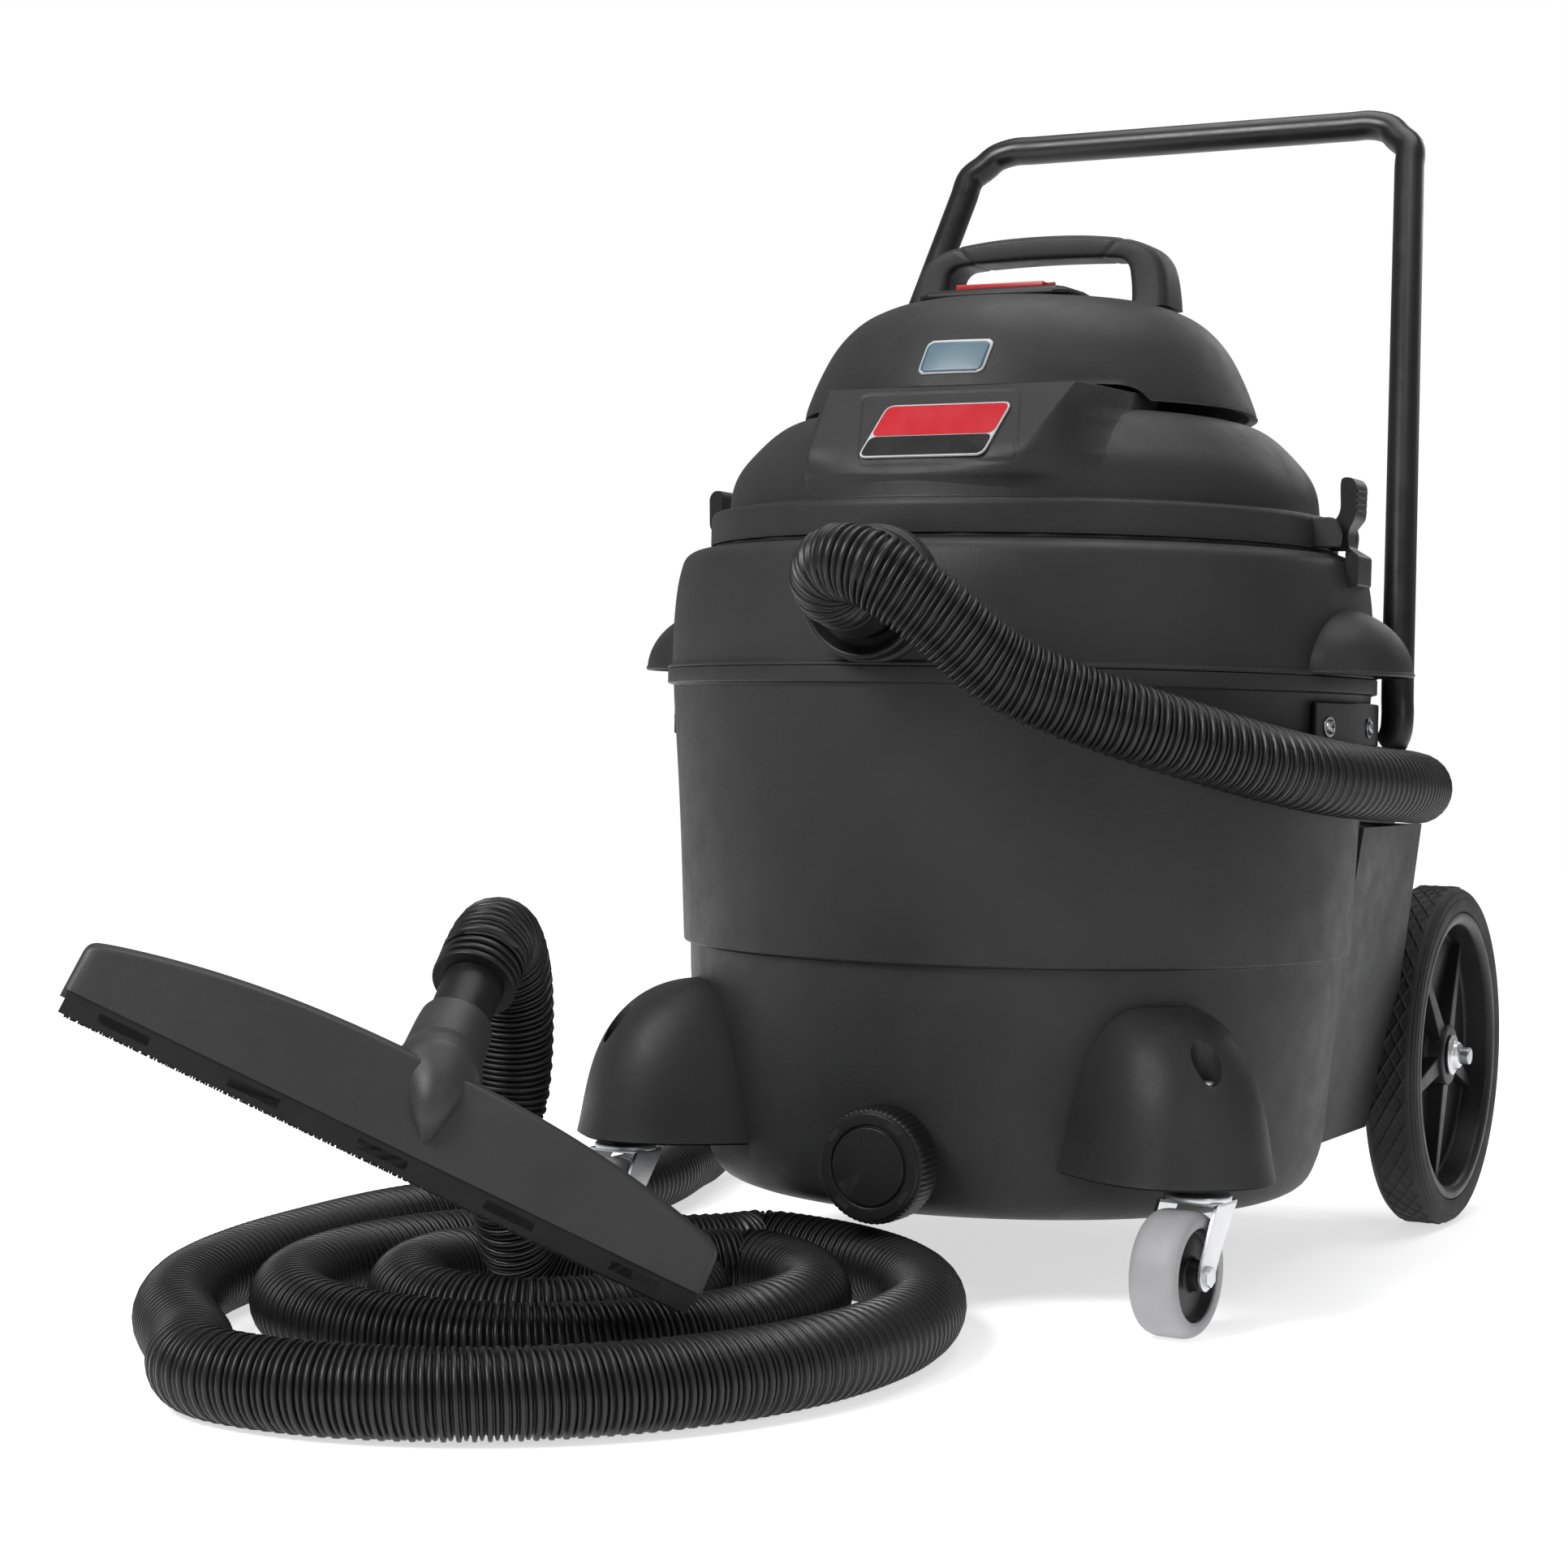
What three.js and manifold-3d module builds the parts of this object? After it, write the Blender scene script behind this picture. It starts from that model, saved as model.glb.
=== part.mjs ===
// A wet and dry drum vacuum on wheels: a tapered drum with an upper ring, a lift-off motor head,
// a push handle, two swivel casters, two large rear wheels, and a ribbed hose that lies in a
// loose coil with its floor nozzle resting on it. Millimetres, +Z up, the machine faces -Y.
import * as THREE from "three";
import { mergeVertices } from "three/addons/utils/BufferGeometryUtils.js";
import Module from "manifold-3d";

const wasm = await Module();
wasm.setup();

// ---- Driving dimensions -------------------------------------------------------------------
const GAP = 0.3; // between pieces that touch
const ROUND = 28; // sides of the drum, ring and lid

const DRUM_FLOOR = 53;
const DRUM_WALL = 3.5;
const SEAM_Z = 402.6; // the drum's rim meets the ring here
const RING_TOP = 484.4;
const BAND_RADIUS = 215; // the lid's rim band
const BAND_BOTTOM = 486.7;
const LID_TOP = 574;
const COWL_TOP = 655;
const COWL_Y = 10; // the cowl stands this far behind the tank's axis

const PORT_Z = 447;
const PORT_FACE = 256; // from the tank's axis to the port's mouth
const DRAIN_X = 10;
const DRAIN_Z = 92;
const DRAIN_FACE = 251;

const REAR_WHEEL_RADIUS = 127;
const REAR_WHEEL_WIDTH = 40;
const REAR_WHEEL_OUTER = 230.3;
const REAR_AXLE_Y = 318;
const REAR_AXLE_RADIUS = 6.35;

const CASTER_X = 201.3;
const CASTER_Y = -183.5;
const CASTER_RADIUS = 38.5;
const CASTER_WIDTH = 31;
const CASTER_TRAIL = 28;
const CASTER_YAW = THREE.MathUtils.degToRad(-5.4);
const CASTER_TOP = 88;
const BOOT_BOTTOM = 90;

// The machine's middle, front to back, is half way from the port's mouth to the rear wheels.
const TANK_AXIS_Y = (PORT_FACE - REAR_AXLE_Y - REAR_WHEEL_RADIUS) / 2;

const HANDLE_TUBE_RADIUS = 11;
const HOSE_RADIUS = 24;
const HOSE_SIDES = 8;

// ---- Colours ------------------------------------------------------------------------------
function finish(color, roughness, metalness = 0) {
  return new THREE.MeshStandardMaterial({ color, roughness, metalness });
}

const charcoal = finish(0x2b2c2e, 0.55);
const black = finish(0x161617, 0.5);
const rubber = finish(0x1b1b1c, 0.8);
const paintedSteel = finish(0x121213, 0.35, 0.3);
const zinc = finish(0xb9bcc0, 0.3, 1);
const steel = finish(0x8e9196, 0.35, 1);
const copper = finish(0x9a5b35, 0.4, 1);
const aluminium = finish(0xa9acb0, 0.4, 1);
const greyTread = finish(0x9b9da0, 0.65);
const red = finish(0xb3161d, 0.4);
const paper = finish(0xd8d5c8, 0.9);
const bristle = finish(0x0e0e0f, 0.95);

// ---- Geometry helpers ---------------------------------------------------------------------
// A mesh whose faces point inwards is turned the right way round.
function facingOut(geometry) {
  const flat = geometry.index ? geometry.toNonIndexed() : geometry;
  const position = flat.getAttribute("position");
  const corner = [new THREE.Vector3(), new THREE.Vector3(), new THREE.Vector3()];
  let volume = 0;
  for (let i = 0; i < position.count; i += 3) {
    corner.forEach((point, k) => point.fromBufferAttribute(position, i + k));
    volume += corner[0].dot(corner[1].cross(corner[2]));
  }
  if (volume >= 0) return flat;
  for (let i = 0; i < position.count; i += 3) {
    const first = new THREE.Vector3().fromBufferAttribute(position, i);
    const second = new THREE.Vector3().fromBufferAttribute(position, i + 1);
    position.setXYZ(i, second.x, second.y, second.z);
    position.setXYZ(i + 1, first.x, first.y, first.z);
  }
  return flat;
}

function toSolid(geometry) {
  const bare = facingOut(geometry.clone());
  for (const extra of ["normal", "uv"]) bare.deleteAttribute(extra);
  const merged = mergeVertices(bare, 1e-4);
  return new wasm.Manifold(
    new wasm.Mesh({
      numProp: 3,
      vertProperties: merged.getAttribute("position").array,
      triVerts: new Uint32Array(merged.index.array),
    }),
  );
}

function toGeometry(solid) {
  const mesh = solid.getMesh();
  const geometry = new THREE.BufferGeometry();
  geometry.setAttribute("position", new THREE.BufferAttribute(mesh.vertProperties, 3));
  geometry.setIndex(new THREE.BufferAttribute(mesh.triVerts, 1));
  geometry.computeVertexNormals();
  return geometry;
}

function join(first, ...others) {
  return toGeometry(others.reduce((body, other) => body.add(toSolid(other)), toSolid(first)));
}

function cut(first, ...tools) {
  return toGeometry(tools.reduce((body, tool) => body.subtract(toSolid(tool)), toSolid(first)));
}

function common(first, second) {
  return toGeometry(toSolid(first).intersect(toSolid(second)));
}

// A closed [radius, height] outline turned about +Z.
function turned(outline, sides = ROUND) {
  const points = outline.map(([radius, height]) => new THREE.Vector2(radius, height));
  const onAxis = outline[0][0] === 0 && outline.at(-1)[0] === 0;
  if (!onAxis) points.push(points[0].clone());
  return facingOut(new THREE.LatheGeometry(points, sides).rotateX(Math.PI / 2));
}

function disc(radius, bottom, top, sides = 16) {
  return turned([[0, bottom], [radius, bottom], [radius, top], [0, top]], sides);
}

function washer(inner, outer, bottom, top, sides = 16) {
  return turned([[inner, bottom], [outer, bottom], [outer, top], [inner, top]], sides);
}

function block(x0, x1, y0, y1, z0, z1) {
  const box = new THREE.BoxGeometry(x1 - x0, y1 - y0, z1 - z0);
  return box.translate((x0 + x1) / 2, (y0 + y1) / 2, (z0 + z1) / 2);
}

// A flat outline of [x, y] corners raised from bottom to top.
function raised(outline, bottom, top, holes = []) {
  const shape = new THREE.Shape(outline.map(([x, y]) => new THREE.Vector2(x, y)));
  for (const hole of holes) {
    shape.holes.push(new THREE.Path(hole.map(([x, y]) => new THREE.Vector2(x, y))));
  }
  const body = new THREE.ExtrudeGeometry(shape, { depth: top - bottom, bevelEnabled: false });
  return facingOut(body.translate(0, 0, bottom));
}

// A pleated or lobed outline that swings between two radii.
function lobed(count, inner, outer, steps = 2) {
  return Array.from({ length: count * steps }, (_, i) => {
    const angle = (i / (count * steps)) * 2 * Math.PI;
    const radius = i % steps < steps / 2 ? outer : inner;
    return [radius * Math.cos(angle), radius * Math.sin(angle)];
  });
}

// Stands a piece that was made about +Z on an axis along +X, or on one that points to -Y.
const alongX = (geometry) => geometry.rotateY(Math.PI / 2);
const towardsFront = (geometry) => geometry.rotateX(Math.PI / 2);

// A round tube along a curve through the points.
function tubeAlong(points, radius, steps, sides = HOSE_SIDES) {
  const ring = Array.from({ length: sides }, (_, i) => {
    const angle = (i / sides) * 2 * Math.PI;
    return new THREE.Vector2(radius * Math.cos(angle), radius * Math.sin(angle));
  });
  const path = new THREE.CatmullRomCurve3(points.map((point) => new THREE.Vector3(...point)));
  const body = new THREE.ExtrudeGeometry(new THREE.Shape(ring), { steps, extrudePath: path });
  return facingOut(body);
}

// A closed skin through rings of points, each ring with the same number of corners.
function loft(rings) {
  const around = rings[0].length;
  const vertices = rings.flat();
  const faces = [];
  for (let r = 0; r < rings.length - 1; r++) {
    for (let i = 0; i < around; i++) {
      const next = (i + 1) % around;
      const [a, b] = [r * around + i, r * around + next];
      faces.push(a, b, b + around, a, b + around, a + around);
    }
  }
  for (const [start, ring] of [[0, rings[0]], [(rings.length - 1) * around, rings.at(-1)]]) {
    const middle = [0, 1, 2].map((k) => ring.reduce((sum, p) => sum + p[k], 0) / around);
    vertices.push(middle);
    for (let i = 0; i < around; i++) {
      const pair = [start + i, start + ((i + 1) % around)];
      faces.push(vertices.length - 1, ...(start === 0 ? pair.reverse() : pair));
    }
  }
  const geometry = new THREE.BufferGeometry();
  geometry.setAttribute("position", new THREE.Float32BufferAttribute(vertices.flat(), 3));
  geometry.setIndex(faces);
  return facingOut(geometry);
}

// The left-hand copy of a piece that was made on the right.
function mirrored(geometry) {
  return facingOut(geometry.clone().scale(-1, 1, 1));
}

function place(parent, name, geometry, material) {
  const mesh = new THREE.Mesh(geometry, material);
  mesh.name = name;
  parent.add(mesh);
  return mesh;
}

// Adds NAME_right as made, and NAME_left as its mirror image.
function placePair(parent, name, geometry, material) {
  place(parent, name + "_right", geometry, material);
  place(parent, name + "_left", mirrored(geometry), material);
}

const machine = new THREE.Group();
machine.position.y = TANK_AXIS_Y;
const head = new THREE.Group();
machine.add(head);

// ---- Drum and ring ------------------------------------------------------------------------
const drumOutline = [
  [0, DRUM_FLOOR],
  [184, DRUM_FLOOR],
  [203, DRUM_FLOOR + 8],
  [213, DRUM_FLOOR + 33],
  [223.5, 193],
  [224.2, 215.7],
  [228.8, 216.7],
  [233, 308],
  [238.5, 381],
  [239, 391.5],
  [243, 392.5],
  [243, SEAM_Z],
];

// The outline grown or shrunk by one amount, closed on the axis at the top.
function drumSolid(grow) {
  const skin = drumOutline.map(([radius, height]) => [
    radius === 0 ? 0 : radius + grow,
    height - (height < DRUM_FLOOR + 34 ? grow : 0),
  ]);
  return turned([...skin, [0, SEAM_Z]]);
}

// The drain spout leaves the drum low on its front.
const spout = towardsFront(disc(29, 205, DRAIN_FACE - 14, 20)).translate(DRAIN_X, 0, DRAIN_Z);
const spoutBore = towardsFront(disc(24, 190, DRAIN_FACE - 10, 20)).translate(DRAIN_X, 0, DRAIN_Z);
const drumInside = turned([
  ...drumOutline.map(([radius, height]) => [
    Math.max(radius - DRUM_WALL, 0),
    Math.max(height, DRUM_FLOOR + DRUM_WALL),
  ]).filter(([, height], i, all) => i === 0 || height !== all[i - 1][1] || all[i][0] > 100),
  [243 - DRUM_WALL, SEAM_Z + 1],
  [0, SEAM_Z + 1],
]);
place(machine, "tank_drum", cut(join(drumSolid(0), spout), drumInside, spoutBore), charcoal);

const ringOutline = [
  [243, SEAM_Z + GAP],
  [243, 405],
  [240, 406],
  [240, 430],
  [237.7, 460],
  [233, 478],
  [226, 483],
  [214, RING_TOP],
  [206, RING_TOP],
  [206, 481],
  [222, 479],
  [229, 474],
  [234, 458],
  [236.5, 430],
  [236.5, SEAM_Z + GAP],
];
const portBoss = common(
  towardsFront(disc(44, 226, 243, 20)).translate(0, 0, PORT_Z),
  block(-60, 60, -250, -200, SEAM_Z + GAP + 1, RING_TOP - 0.5),
);
const portHole = towardsFront(disc(35.4, 200, 250, 20)).translate(0, 0, PORT_Z);
// Each clamp's hook stands outside a catch on the ring's shoulder.
const catchBlock = block(228, 235.6, -13, 13, 462, 477);
const ringBody = join(turned(ringOutline), portBoss, catchBlock, mirrored(catchBlock));
place(machine, "tank_ring", cut(ringBody, portHole), charcoal);

// The port: a flanged bush with a dished mouth, its barrel through the ring's wall.
const portOutline = [
  [27, 206],
  [34.5, 206],
  [34.5, 243 + GAP],
  [41.5, 243 + GAP],
  [41.5, PORT_FACE],
  [38, PORT_FACE],
  [32, PORT_FACE - 7],
  [27, PORT_FACE - 8],
];
place(machine, "inlet_port",
  towardsFront(turned(portOutline, 20)).translate(0, 0, PORT_Z), black);

// A half dome on each side is the lifting grip: open below, for the fingers.
const GRIP_Y = -14;
function gripDome(across, along, up) {
  return new THREE.SphereGeometry(1, 16, 10).rotateX(Math.PI / 2).scale(across, along, up);
}
const ringEnvelope = turned([
  [0, 380], [243.5, 380], [243.5, 405], [240.4, 406.2], [240.4, 430], [238.1, 460.1], [233, 479],
  [0, 479],
]);
const grip = cut(
  gripDome(52.8, 58, 45).translate(226, GRIP_Y, SEAM_Z),
  gripDome(49.3, 54.5, 41.5).translate(226, GRIP_Y, SEAM_Z),
  block(100, 300, -100, 80, 300, SEAM_Z + GAP),
  ringEnvelope,
);
placePair(machine, "lift_grip", grip, charcoal);

// ---- Push handle --------------------------------------------------------------------------
const HANDLE_TOP = [176.7, 317.2, 829.4];
const HANDLE_FOOT = [239.1, 97, 391.4];
const BEND = 62; // from a top corner to where its bend starts

// A point part of the way from one to another.
function between(from, to, share) {
  return from.map((value, k) => value + (to[k] - value) * share);
}

const legLength = Math.hypot(...HANDLE_TOP.map((value, k) => value - HANDLE_FOOT[k]));
const bendShare = BEND / legLength;
const rightLeg = [
  [240.2, 92.3, 362],
  [240.5, 93.2, 376],
  HANDLE_FOOT,
  between(HANDLE_FOOT, HANDLE_TOP, 0.3),
  between(HANDLE_FOOT, HANDLE_TOP, 0.6),
  between(HANDLE_TOP, HANDLE_FOOT, bendShare),
  [HANDLE_TOP[0] - 9, HANDLE_TOP[1] - 4.6, HANDLE_TOP[2] - 15],
  [HANDLE_TOP[0] - BEND, HANDLE_TOP[1], HANDLE_TOP[2]],
  [40, HANDLE_TOP[1], HANDLE_TOP[2]],
];
const leftLeg = rightLeg.map(([x, y, z]) => [-x, y, z]).reverse();
// A lug at each foot turns in to the bracket.
const lug = alongX(disc(9, 244.9, 262, 12)).rotateZ(Math.atan2(92.3, 240.2)).translate(0, 0, 367);
const handleTube = tubeAlong([...rightLeg, ...leftLeg], HANDLE_TUBE_RADIUS, 46);
place(machine, "push_handle", join(handleTube, lug, mirrored(lug)), paintedSteel);

// A curved plate on each side of the drum holds the handle's foot.
function arcBand(inner, outer, from, to, steps) {
  const sweep = (radius) => Array.from({ length: steps + 1 }, (_, i) => {
    const angle = THREE.MathUtils.degToRad(from + ((to - from) * i) / steps);
    return [radius * Math.cos(angle), radius * Math.sin(angle)];
  });
  return [...sweep(outer), ...sweep(inner).reverse()];
}
const BRACKET_BOTTOM = 358;
placePair(machine, "handle_bracket",
  raised(arcBand(240.8, 244.2, -16.5, 24, 8), BRACKET_BOTTOM, 386), paintedSteel);

// A screw head that lies on the side of the drum, at an angle from +X.
function sideScrew(radius, angle, height) {
  const screwHead = turned([[0, 0], [6.5, 0], [6, 2.5], [3, 3.6], [0, 3.6]], 12);
  return alongX(screwHead).translate(radius + GAP, 0, 0)
    .rotateZ(THREE.MathUtils.degToRad(angle)).translate(0, 0, height);
}
placePair(machine, "bracket_screw", sideScrew(244.2, -13, 370), zinc);

// ---- Rear axle and wheels -----------------------------------------------------------------
const FRAME_TOP = 303;
const FRAME_BOTTOM = 85;
const cheekOutline = [[60, FRAME_BOTTOM], [184, FRAME_BOTTOM], [200, 185], [206, FRAME_TOP],
  [62, FRAME_TOP]];

// The rear frame: a cheek beside each flank of the drum, and a box behind it for the axle.
function rearFrame() {
  const spread = raised(cheekOutline, -1, 1).rotateZ(Math.PI / 2).rotateY(Math.PI / 2);
  const position = spread.getAttribute("position");
  for (let i = 0; i < position.count; i++) {
    const lean = (position.getZ(i) - FRAME_BOTTOM) / (FRAME_TOP - FRAME_BOTTOM);
    position.setX(i, Math.sign(position.getX(i)) * (198 + 30 * Math.min(lean * 1.3, 1)));
  }
  const box = block(-184, 184, 150, 292, FRAME_BOTTOM, FRAME_TOP);
  const boss = block(140, 184, 280, 342, 98, 156);
  const pocket = block(-176, 176, 246, 286, FRAME_BOTTOM - 1, FRAME_TOP - 5);
  const bore = alongX(disc(REAR_AXLE_RADIUS + GAP, -200, 200, 16))
    .translate(0, REAR_AXLE_Y, REAR_WHEEL_RADIUS);
  const wheelRoom = alongX(disc(REAR_WHEEL_RADIUS + 4, 187, 250, 32))
    .translate(0, REAR_AXLE_Y, REAR_WHEEL_RADIUS);
  const body = join(spread, box, boss, mirrored(boss));
  return cut(body, pocket, drumSolid(0.6), bore, wheelRoom, mirrored(wheelRoom));
}
place(machine, "axle_frame", rearFrame(), charcoal);

const axleEnd = REAR_WHEEL_OUTER + 8;
place(machine, "rear_axle",
  alongX(disc(REAR_AXLE_RADIUS, -axleEnd, axleEnd, 16))
    .translate(0, REAR_AXLE_Y, REAR_WHEEL_RADIUS), steel);

// A push nut on each axle end keeps the wheel on.
const axleNut = alongX(turned([[REAR_AXLE_RADIUS + GAP, 224], [15, 224], [14, 227], [10, 231.5],
  [REAR_AXLE_RADIUS + GAP, 231.5]], 12)).translate(0, REAR_AXLE_Y, REAR_WHEEL_RADIUS);
placePair(machine, "axle_nut", axleNut, zinc);

const tyreIn = REAR_WHEEL_OUTER - REAR_WHEEL_WIDTH;
const RIM_RADIUS = 106.5; // a faceted rim stays inside the faceted tyre
const tyreOutline = [
  [108, tyreIn + 1],
  [122, tyreIn + 1],
  [REAR_WHEEL_RADIUS, tyreIn + 6],
  [REAR_WHEEL_RADIUS, REAR_WHEEL_OUTER - 6],
  [122, REAR_WHEEL_OUTER],
  [108, REAR_WHEEL_OUTER],
];
const rimOutline = [
  [REAR_AXLE_RADIUS + GAP, tyreIn],
  [24, tyreIn],
  [24, tyreIn + 12],
  [97, tyreIn + 10],
  [98, tyreIn + 2],
  [RIM_RADIUS, tyreIn + 2],
  [RIM_RADIUS, REAR_WHEEL_OUTER - 1],
  [98, REAR_WHEEL_OUTER - 1],
  [97, tyreIn + 16],
  [24, tyreIn + 18],
  [22, 223.6],
  [REAR_AXLE_RADIUS + GAP, 223.6],
];
for (const side of [-1, 1]) {
  const wheel = new THREE.Group();
  wheel.position.set(0, REAR_AXLE_Y, REAR_WHEEL_RADIUS);
  machine.add(wheel);
  const name = side > 0 ? "right" : "left";
  const flip = side > 0 ? (geometry) => geometry : mirrored;
  place(wheel, "rear_tyre_" + name, flip(alongX(turned(tyreOutline, 28))), rubber);
  place(wheel, "rear_rim_" + name, flip(alongX(turned(rimOutline, 20))), black);
}

// ---- Front casters ------------------------------------------------------------------------
// The boot's rings are rounded arches that shrink towards the drum's wall as they rise.
const BOOT_TURN = Math.atan2(CASTER_Y, CASTER_X);
const BOOT_TOP = 197;

function bootRing(height, bottom, inset) {
  const rise = Math.min((height - bottom) / (BOOT_TOP - inset - bottom), 1);
  const shrink = Math.pow(1 - Math.pow(rise, 2.6), 1 / 2.2);
  const flare = 3 * Math.pow(1 - rise, 6);
  const reach = 76 * shrink + 4 + flare - inset;
  const half = 44 * shrink + 16 + flare - inset;
  return Array.from({ length: 14 }, (_, i) => {
    const angle = (i / 14) * 2 * Math.PI;
    const [c, s] = [Math.cos(angle), Math.sin(angle)];
    const along = Math.sign(c) * Math.pow(Math.abs(c), 0.8) * reach;
    const across = Math.sign(s) * Math.pow(Math.abs(s), 0.8) * half;
    return [218 + along, across, height];
  });
}

function bootDome(bottom, inset) {
  const levels = [0, 0.1, 0.4, 0.7, 0.9, 1];
  return loft(levels.map((share) => bootRing(
    bottom + (BOOT_TOP - inset - bottom) * share, bottom, inset)));
}

const stem = Math.hypot(CASTER_X, CASTER_Y);
const bootBody = cut(
  join(
    cut(bootDome(BOOT_BOTTOM, 0), bootDome(BOOT_BOTTOM - 6, 4)),
    disc(15, BOOT_BOTTOM, 160, 10).translate(stem, 0, 0),
  ),
  disc(6.6, 60, 118, 8).translate(stem, 0, 0),
  turned([[0, 0], [4.4, 0], [4.4, 6], [9, 14], [9, 60], [0, 60]], 8)
    .translate(stem - 4, 0, 152),
);
const boot = cut(bootBody.rotateZ(BOOT_TURN), drumSolid(0.6));
placePair(machine, "caster_boot", boot, charcoal);

// A caster's own frame has its origin on the swivel axis at the floor; the wheel trails to -Y.
const axleOffset = new THREE.Vector3(0, -CASTER_TRAIL, CASTER_RADIUS);
function forkLeg(side) {
  const outline = [[14, 79.6], [-14, 79.6], [-CASTER_TRAIL - 8, 44], [-CASTER_TRAIL - 9, 36],
    [-CASTER_TRAIL - 2, 29], [-CASTER_TRAIL + 8, 33]];
  const leg = raised(outline, -1.2, 1.2).rotateZ(Math.PI / 2).rotateY(Math.PI / 2);
  return leg.translate(side * 19, 0, 0);
}
function casterFork() {
  const plate = block(-20.2, 20.2, -15, 15, 78.2, 80.4);
  const cup = turned([[0, 80], [21, 80], [21, 84], [12, CASTER_TOP], [0, CASTER_TOP]], 14);
  const stemPin = disc(5.6, 87, 116, 8);
  const bolt = alongX(turned([[0, -23.5], [6, -23.5], [6, -19], [3.9, -19], [3.9, 19],
    [6, 19], [6, 23.5], [0, 23.5]], 8)).translate(0, axleOffset.y, axleOffset.z);
  return join(plate, cup, stemPin, forkLeg(-1), forkLeg(1), bolt);
}
const casterTyreOutline = [
  [29, -CASTER_WIDTH / 2],
  [35, -CASTER_WIDTH / 2],
  [CASTER_RADIUS, -CASTER_WIDTH / 2 + 5],
  [CASTER_RADIUS, CASTER_WIDTH / 2 - 5],
  [35, CASTER_WIDTH / 2],
  [29, CASTER_WIDTH / 2],
];
const casterHubOutline = [
  [4.6, -17],
  [9, -17],
  [10, -9],
  [28, -8],
  [28, 8],
  [10, 9],
  [9, 17],
  [4.6, 17],
];
for (const side of [-1, 1]) {
  const name = side > 0 ? "right" : "left";
  const swivel = new THREE.Group();
  swivel.position.set(side * CASTER_X, CASTER_Y, 0);
  swivel.rotation.z = CASTER_YAW;
  machine.add(swivel);
  place(swivel, "caster_fork_" + name, casterFork(), zinc);
  const wheel = new THREE.Group();
  wheel.position.copy(axleOffset);
  swivel.add(wheel);
  place(wheel, "caster_tyre_" + name, alongX(turned(casterTyreOutline, 20)), greyTread);
  place(wheel, "caster_hub_" + name, alongX(turned(casterHubOutline, 16)), black);
}

// ---- Drain cap ----------------------------------------------------------------------------
const capBase = DRAIN_FACE - 27;
const capShell = raised(lobed(24, 35.4, 37), capBase, DRAIN_FACE - 3);
const capFace = turned([[0, DRAIN_FACE - 9], [33, DRAIN_FACE - 9], [33, DRAIN_FACE - 1],
  [26, DRAIN_FACE - 1], [25, DRAIN_FACE - 3], [24, DRAIN_FACE], [0, DRAIN_FACE]], 20);
const capRoom = disc(30, capBase - 1, DRAIN_FACE - 6, 20);
place(machine, "drain_cap",
  towardsFront(cut(join(capShell, capFace), capRoom)).translate(DRAIN_X, 0, DRAIN_Z), black);

// ---- Hose, cuffs and floor nozzle ---------------------------------------------------------
// The route's points, along the middle of the hose, from the port to the start of the coil.
const runRoute = [
  [0, -280.3, PORT_Z],
  [0, -287, PORT_Z],
  [2, -300, 450],
  [17, -314, 457],
  [42, -321, 452],
  [73, -309, 431],
  [107, -284, 400],
  [140, -262, 383],
  [175, -236, 369],
  [205, -200, 357],
  [233, -157, 346],
  [254, -101, 338],
  [265, -35, 334],
  [266, 25, 332],
  [257, 85, 330],
  [233, 148, 329],
  [182, 216, 329],
  [102, 266, 329],
  [0, 288, 330],
  [-100, 270, 329],
  [-180, 248, 330],
  [-240, 238, 320],
  [-284, 232, 280],
  [-307, 234, 225],
  [-326, 244, 155],
  [-343, 254, 92],
  [-352, 238, 42],
  [-346, 195, 25.5],
  [-328, 130, HOSE_RADIUS + GAP],
  [-306, 50, HOSE_RADIUS + GAP],
  [-299, -30, HOSE_RADIUS + GAP],
  [-308, -105, HOSE_RADIUS + GAP],
  [-333, -175, HOSE_RADIUS + GAP],
  [-347, -250, HOSE_RADIUS + GAP],
  [-345, -340, HOSE_RADIUS + GAP],
  [-334, -425, HOSE_RADIUS + GAP],
  [-309, -507, HOSE_RADIUS + GAP],
  [-267, -577, HOSE_RADIUS + GAP],
  [-207, -640, HOSE_RADIUS + GAP],
];
const COIL_START = 0.25; // in turns from the coil's left side, round its front
const COIL_END = 2.75;
const COIL_STEPS = 36; // corners in one turn of the coil's outline

// Each turn keeps clear of the circle that the left caster's wheel can swing through, and a
// hose's width further off than the turn outside it.
function clearOfCaster(x, y, turns) {
  const room = 99 + 50 * Math.max(turns - 0.8, 0);
  const [dx, dy] = [x + CASTER_X, y - CASTER_Y];
  const distance = Math.hypot(dx, dy);
  const share = Math.pow(distance ** 8 + room ** 8, 1 / 8) / distance;
  return [-CASTER_X + dx * share, CASTER_Y + dy * share];
}

// The coil's left, right, front and back edges each move inwards as the turns go by.
function coilPoint(turns) {
  const left = -336 + 58 * turns;
  const right = 143 - 77 * turns;
  const front = -739 + 176 * turns - 28.5 * turns * turns;
  const back = -145 - 60 * turns;
  const angle = turns * 2 * Math.PI;
  return clearOfCaster(
    (left + right) / 2 - ((right - left) / 2) * Math.cos(angle),
    (front + back) / 2 - ((back - front) / 2) * Math.sin(angle),
    turns,
  );
}

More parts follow.
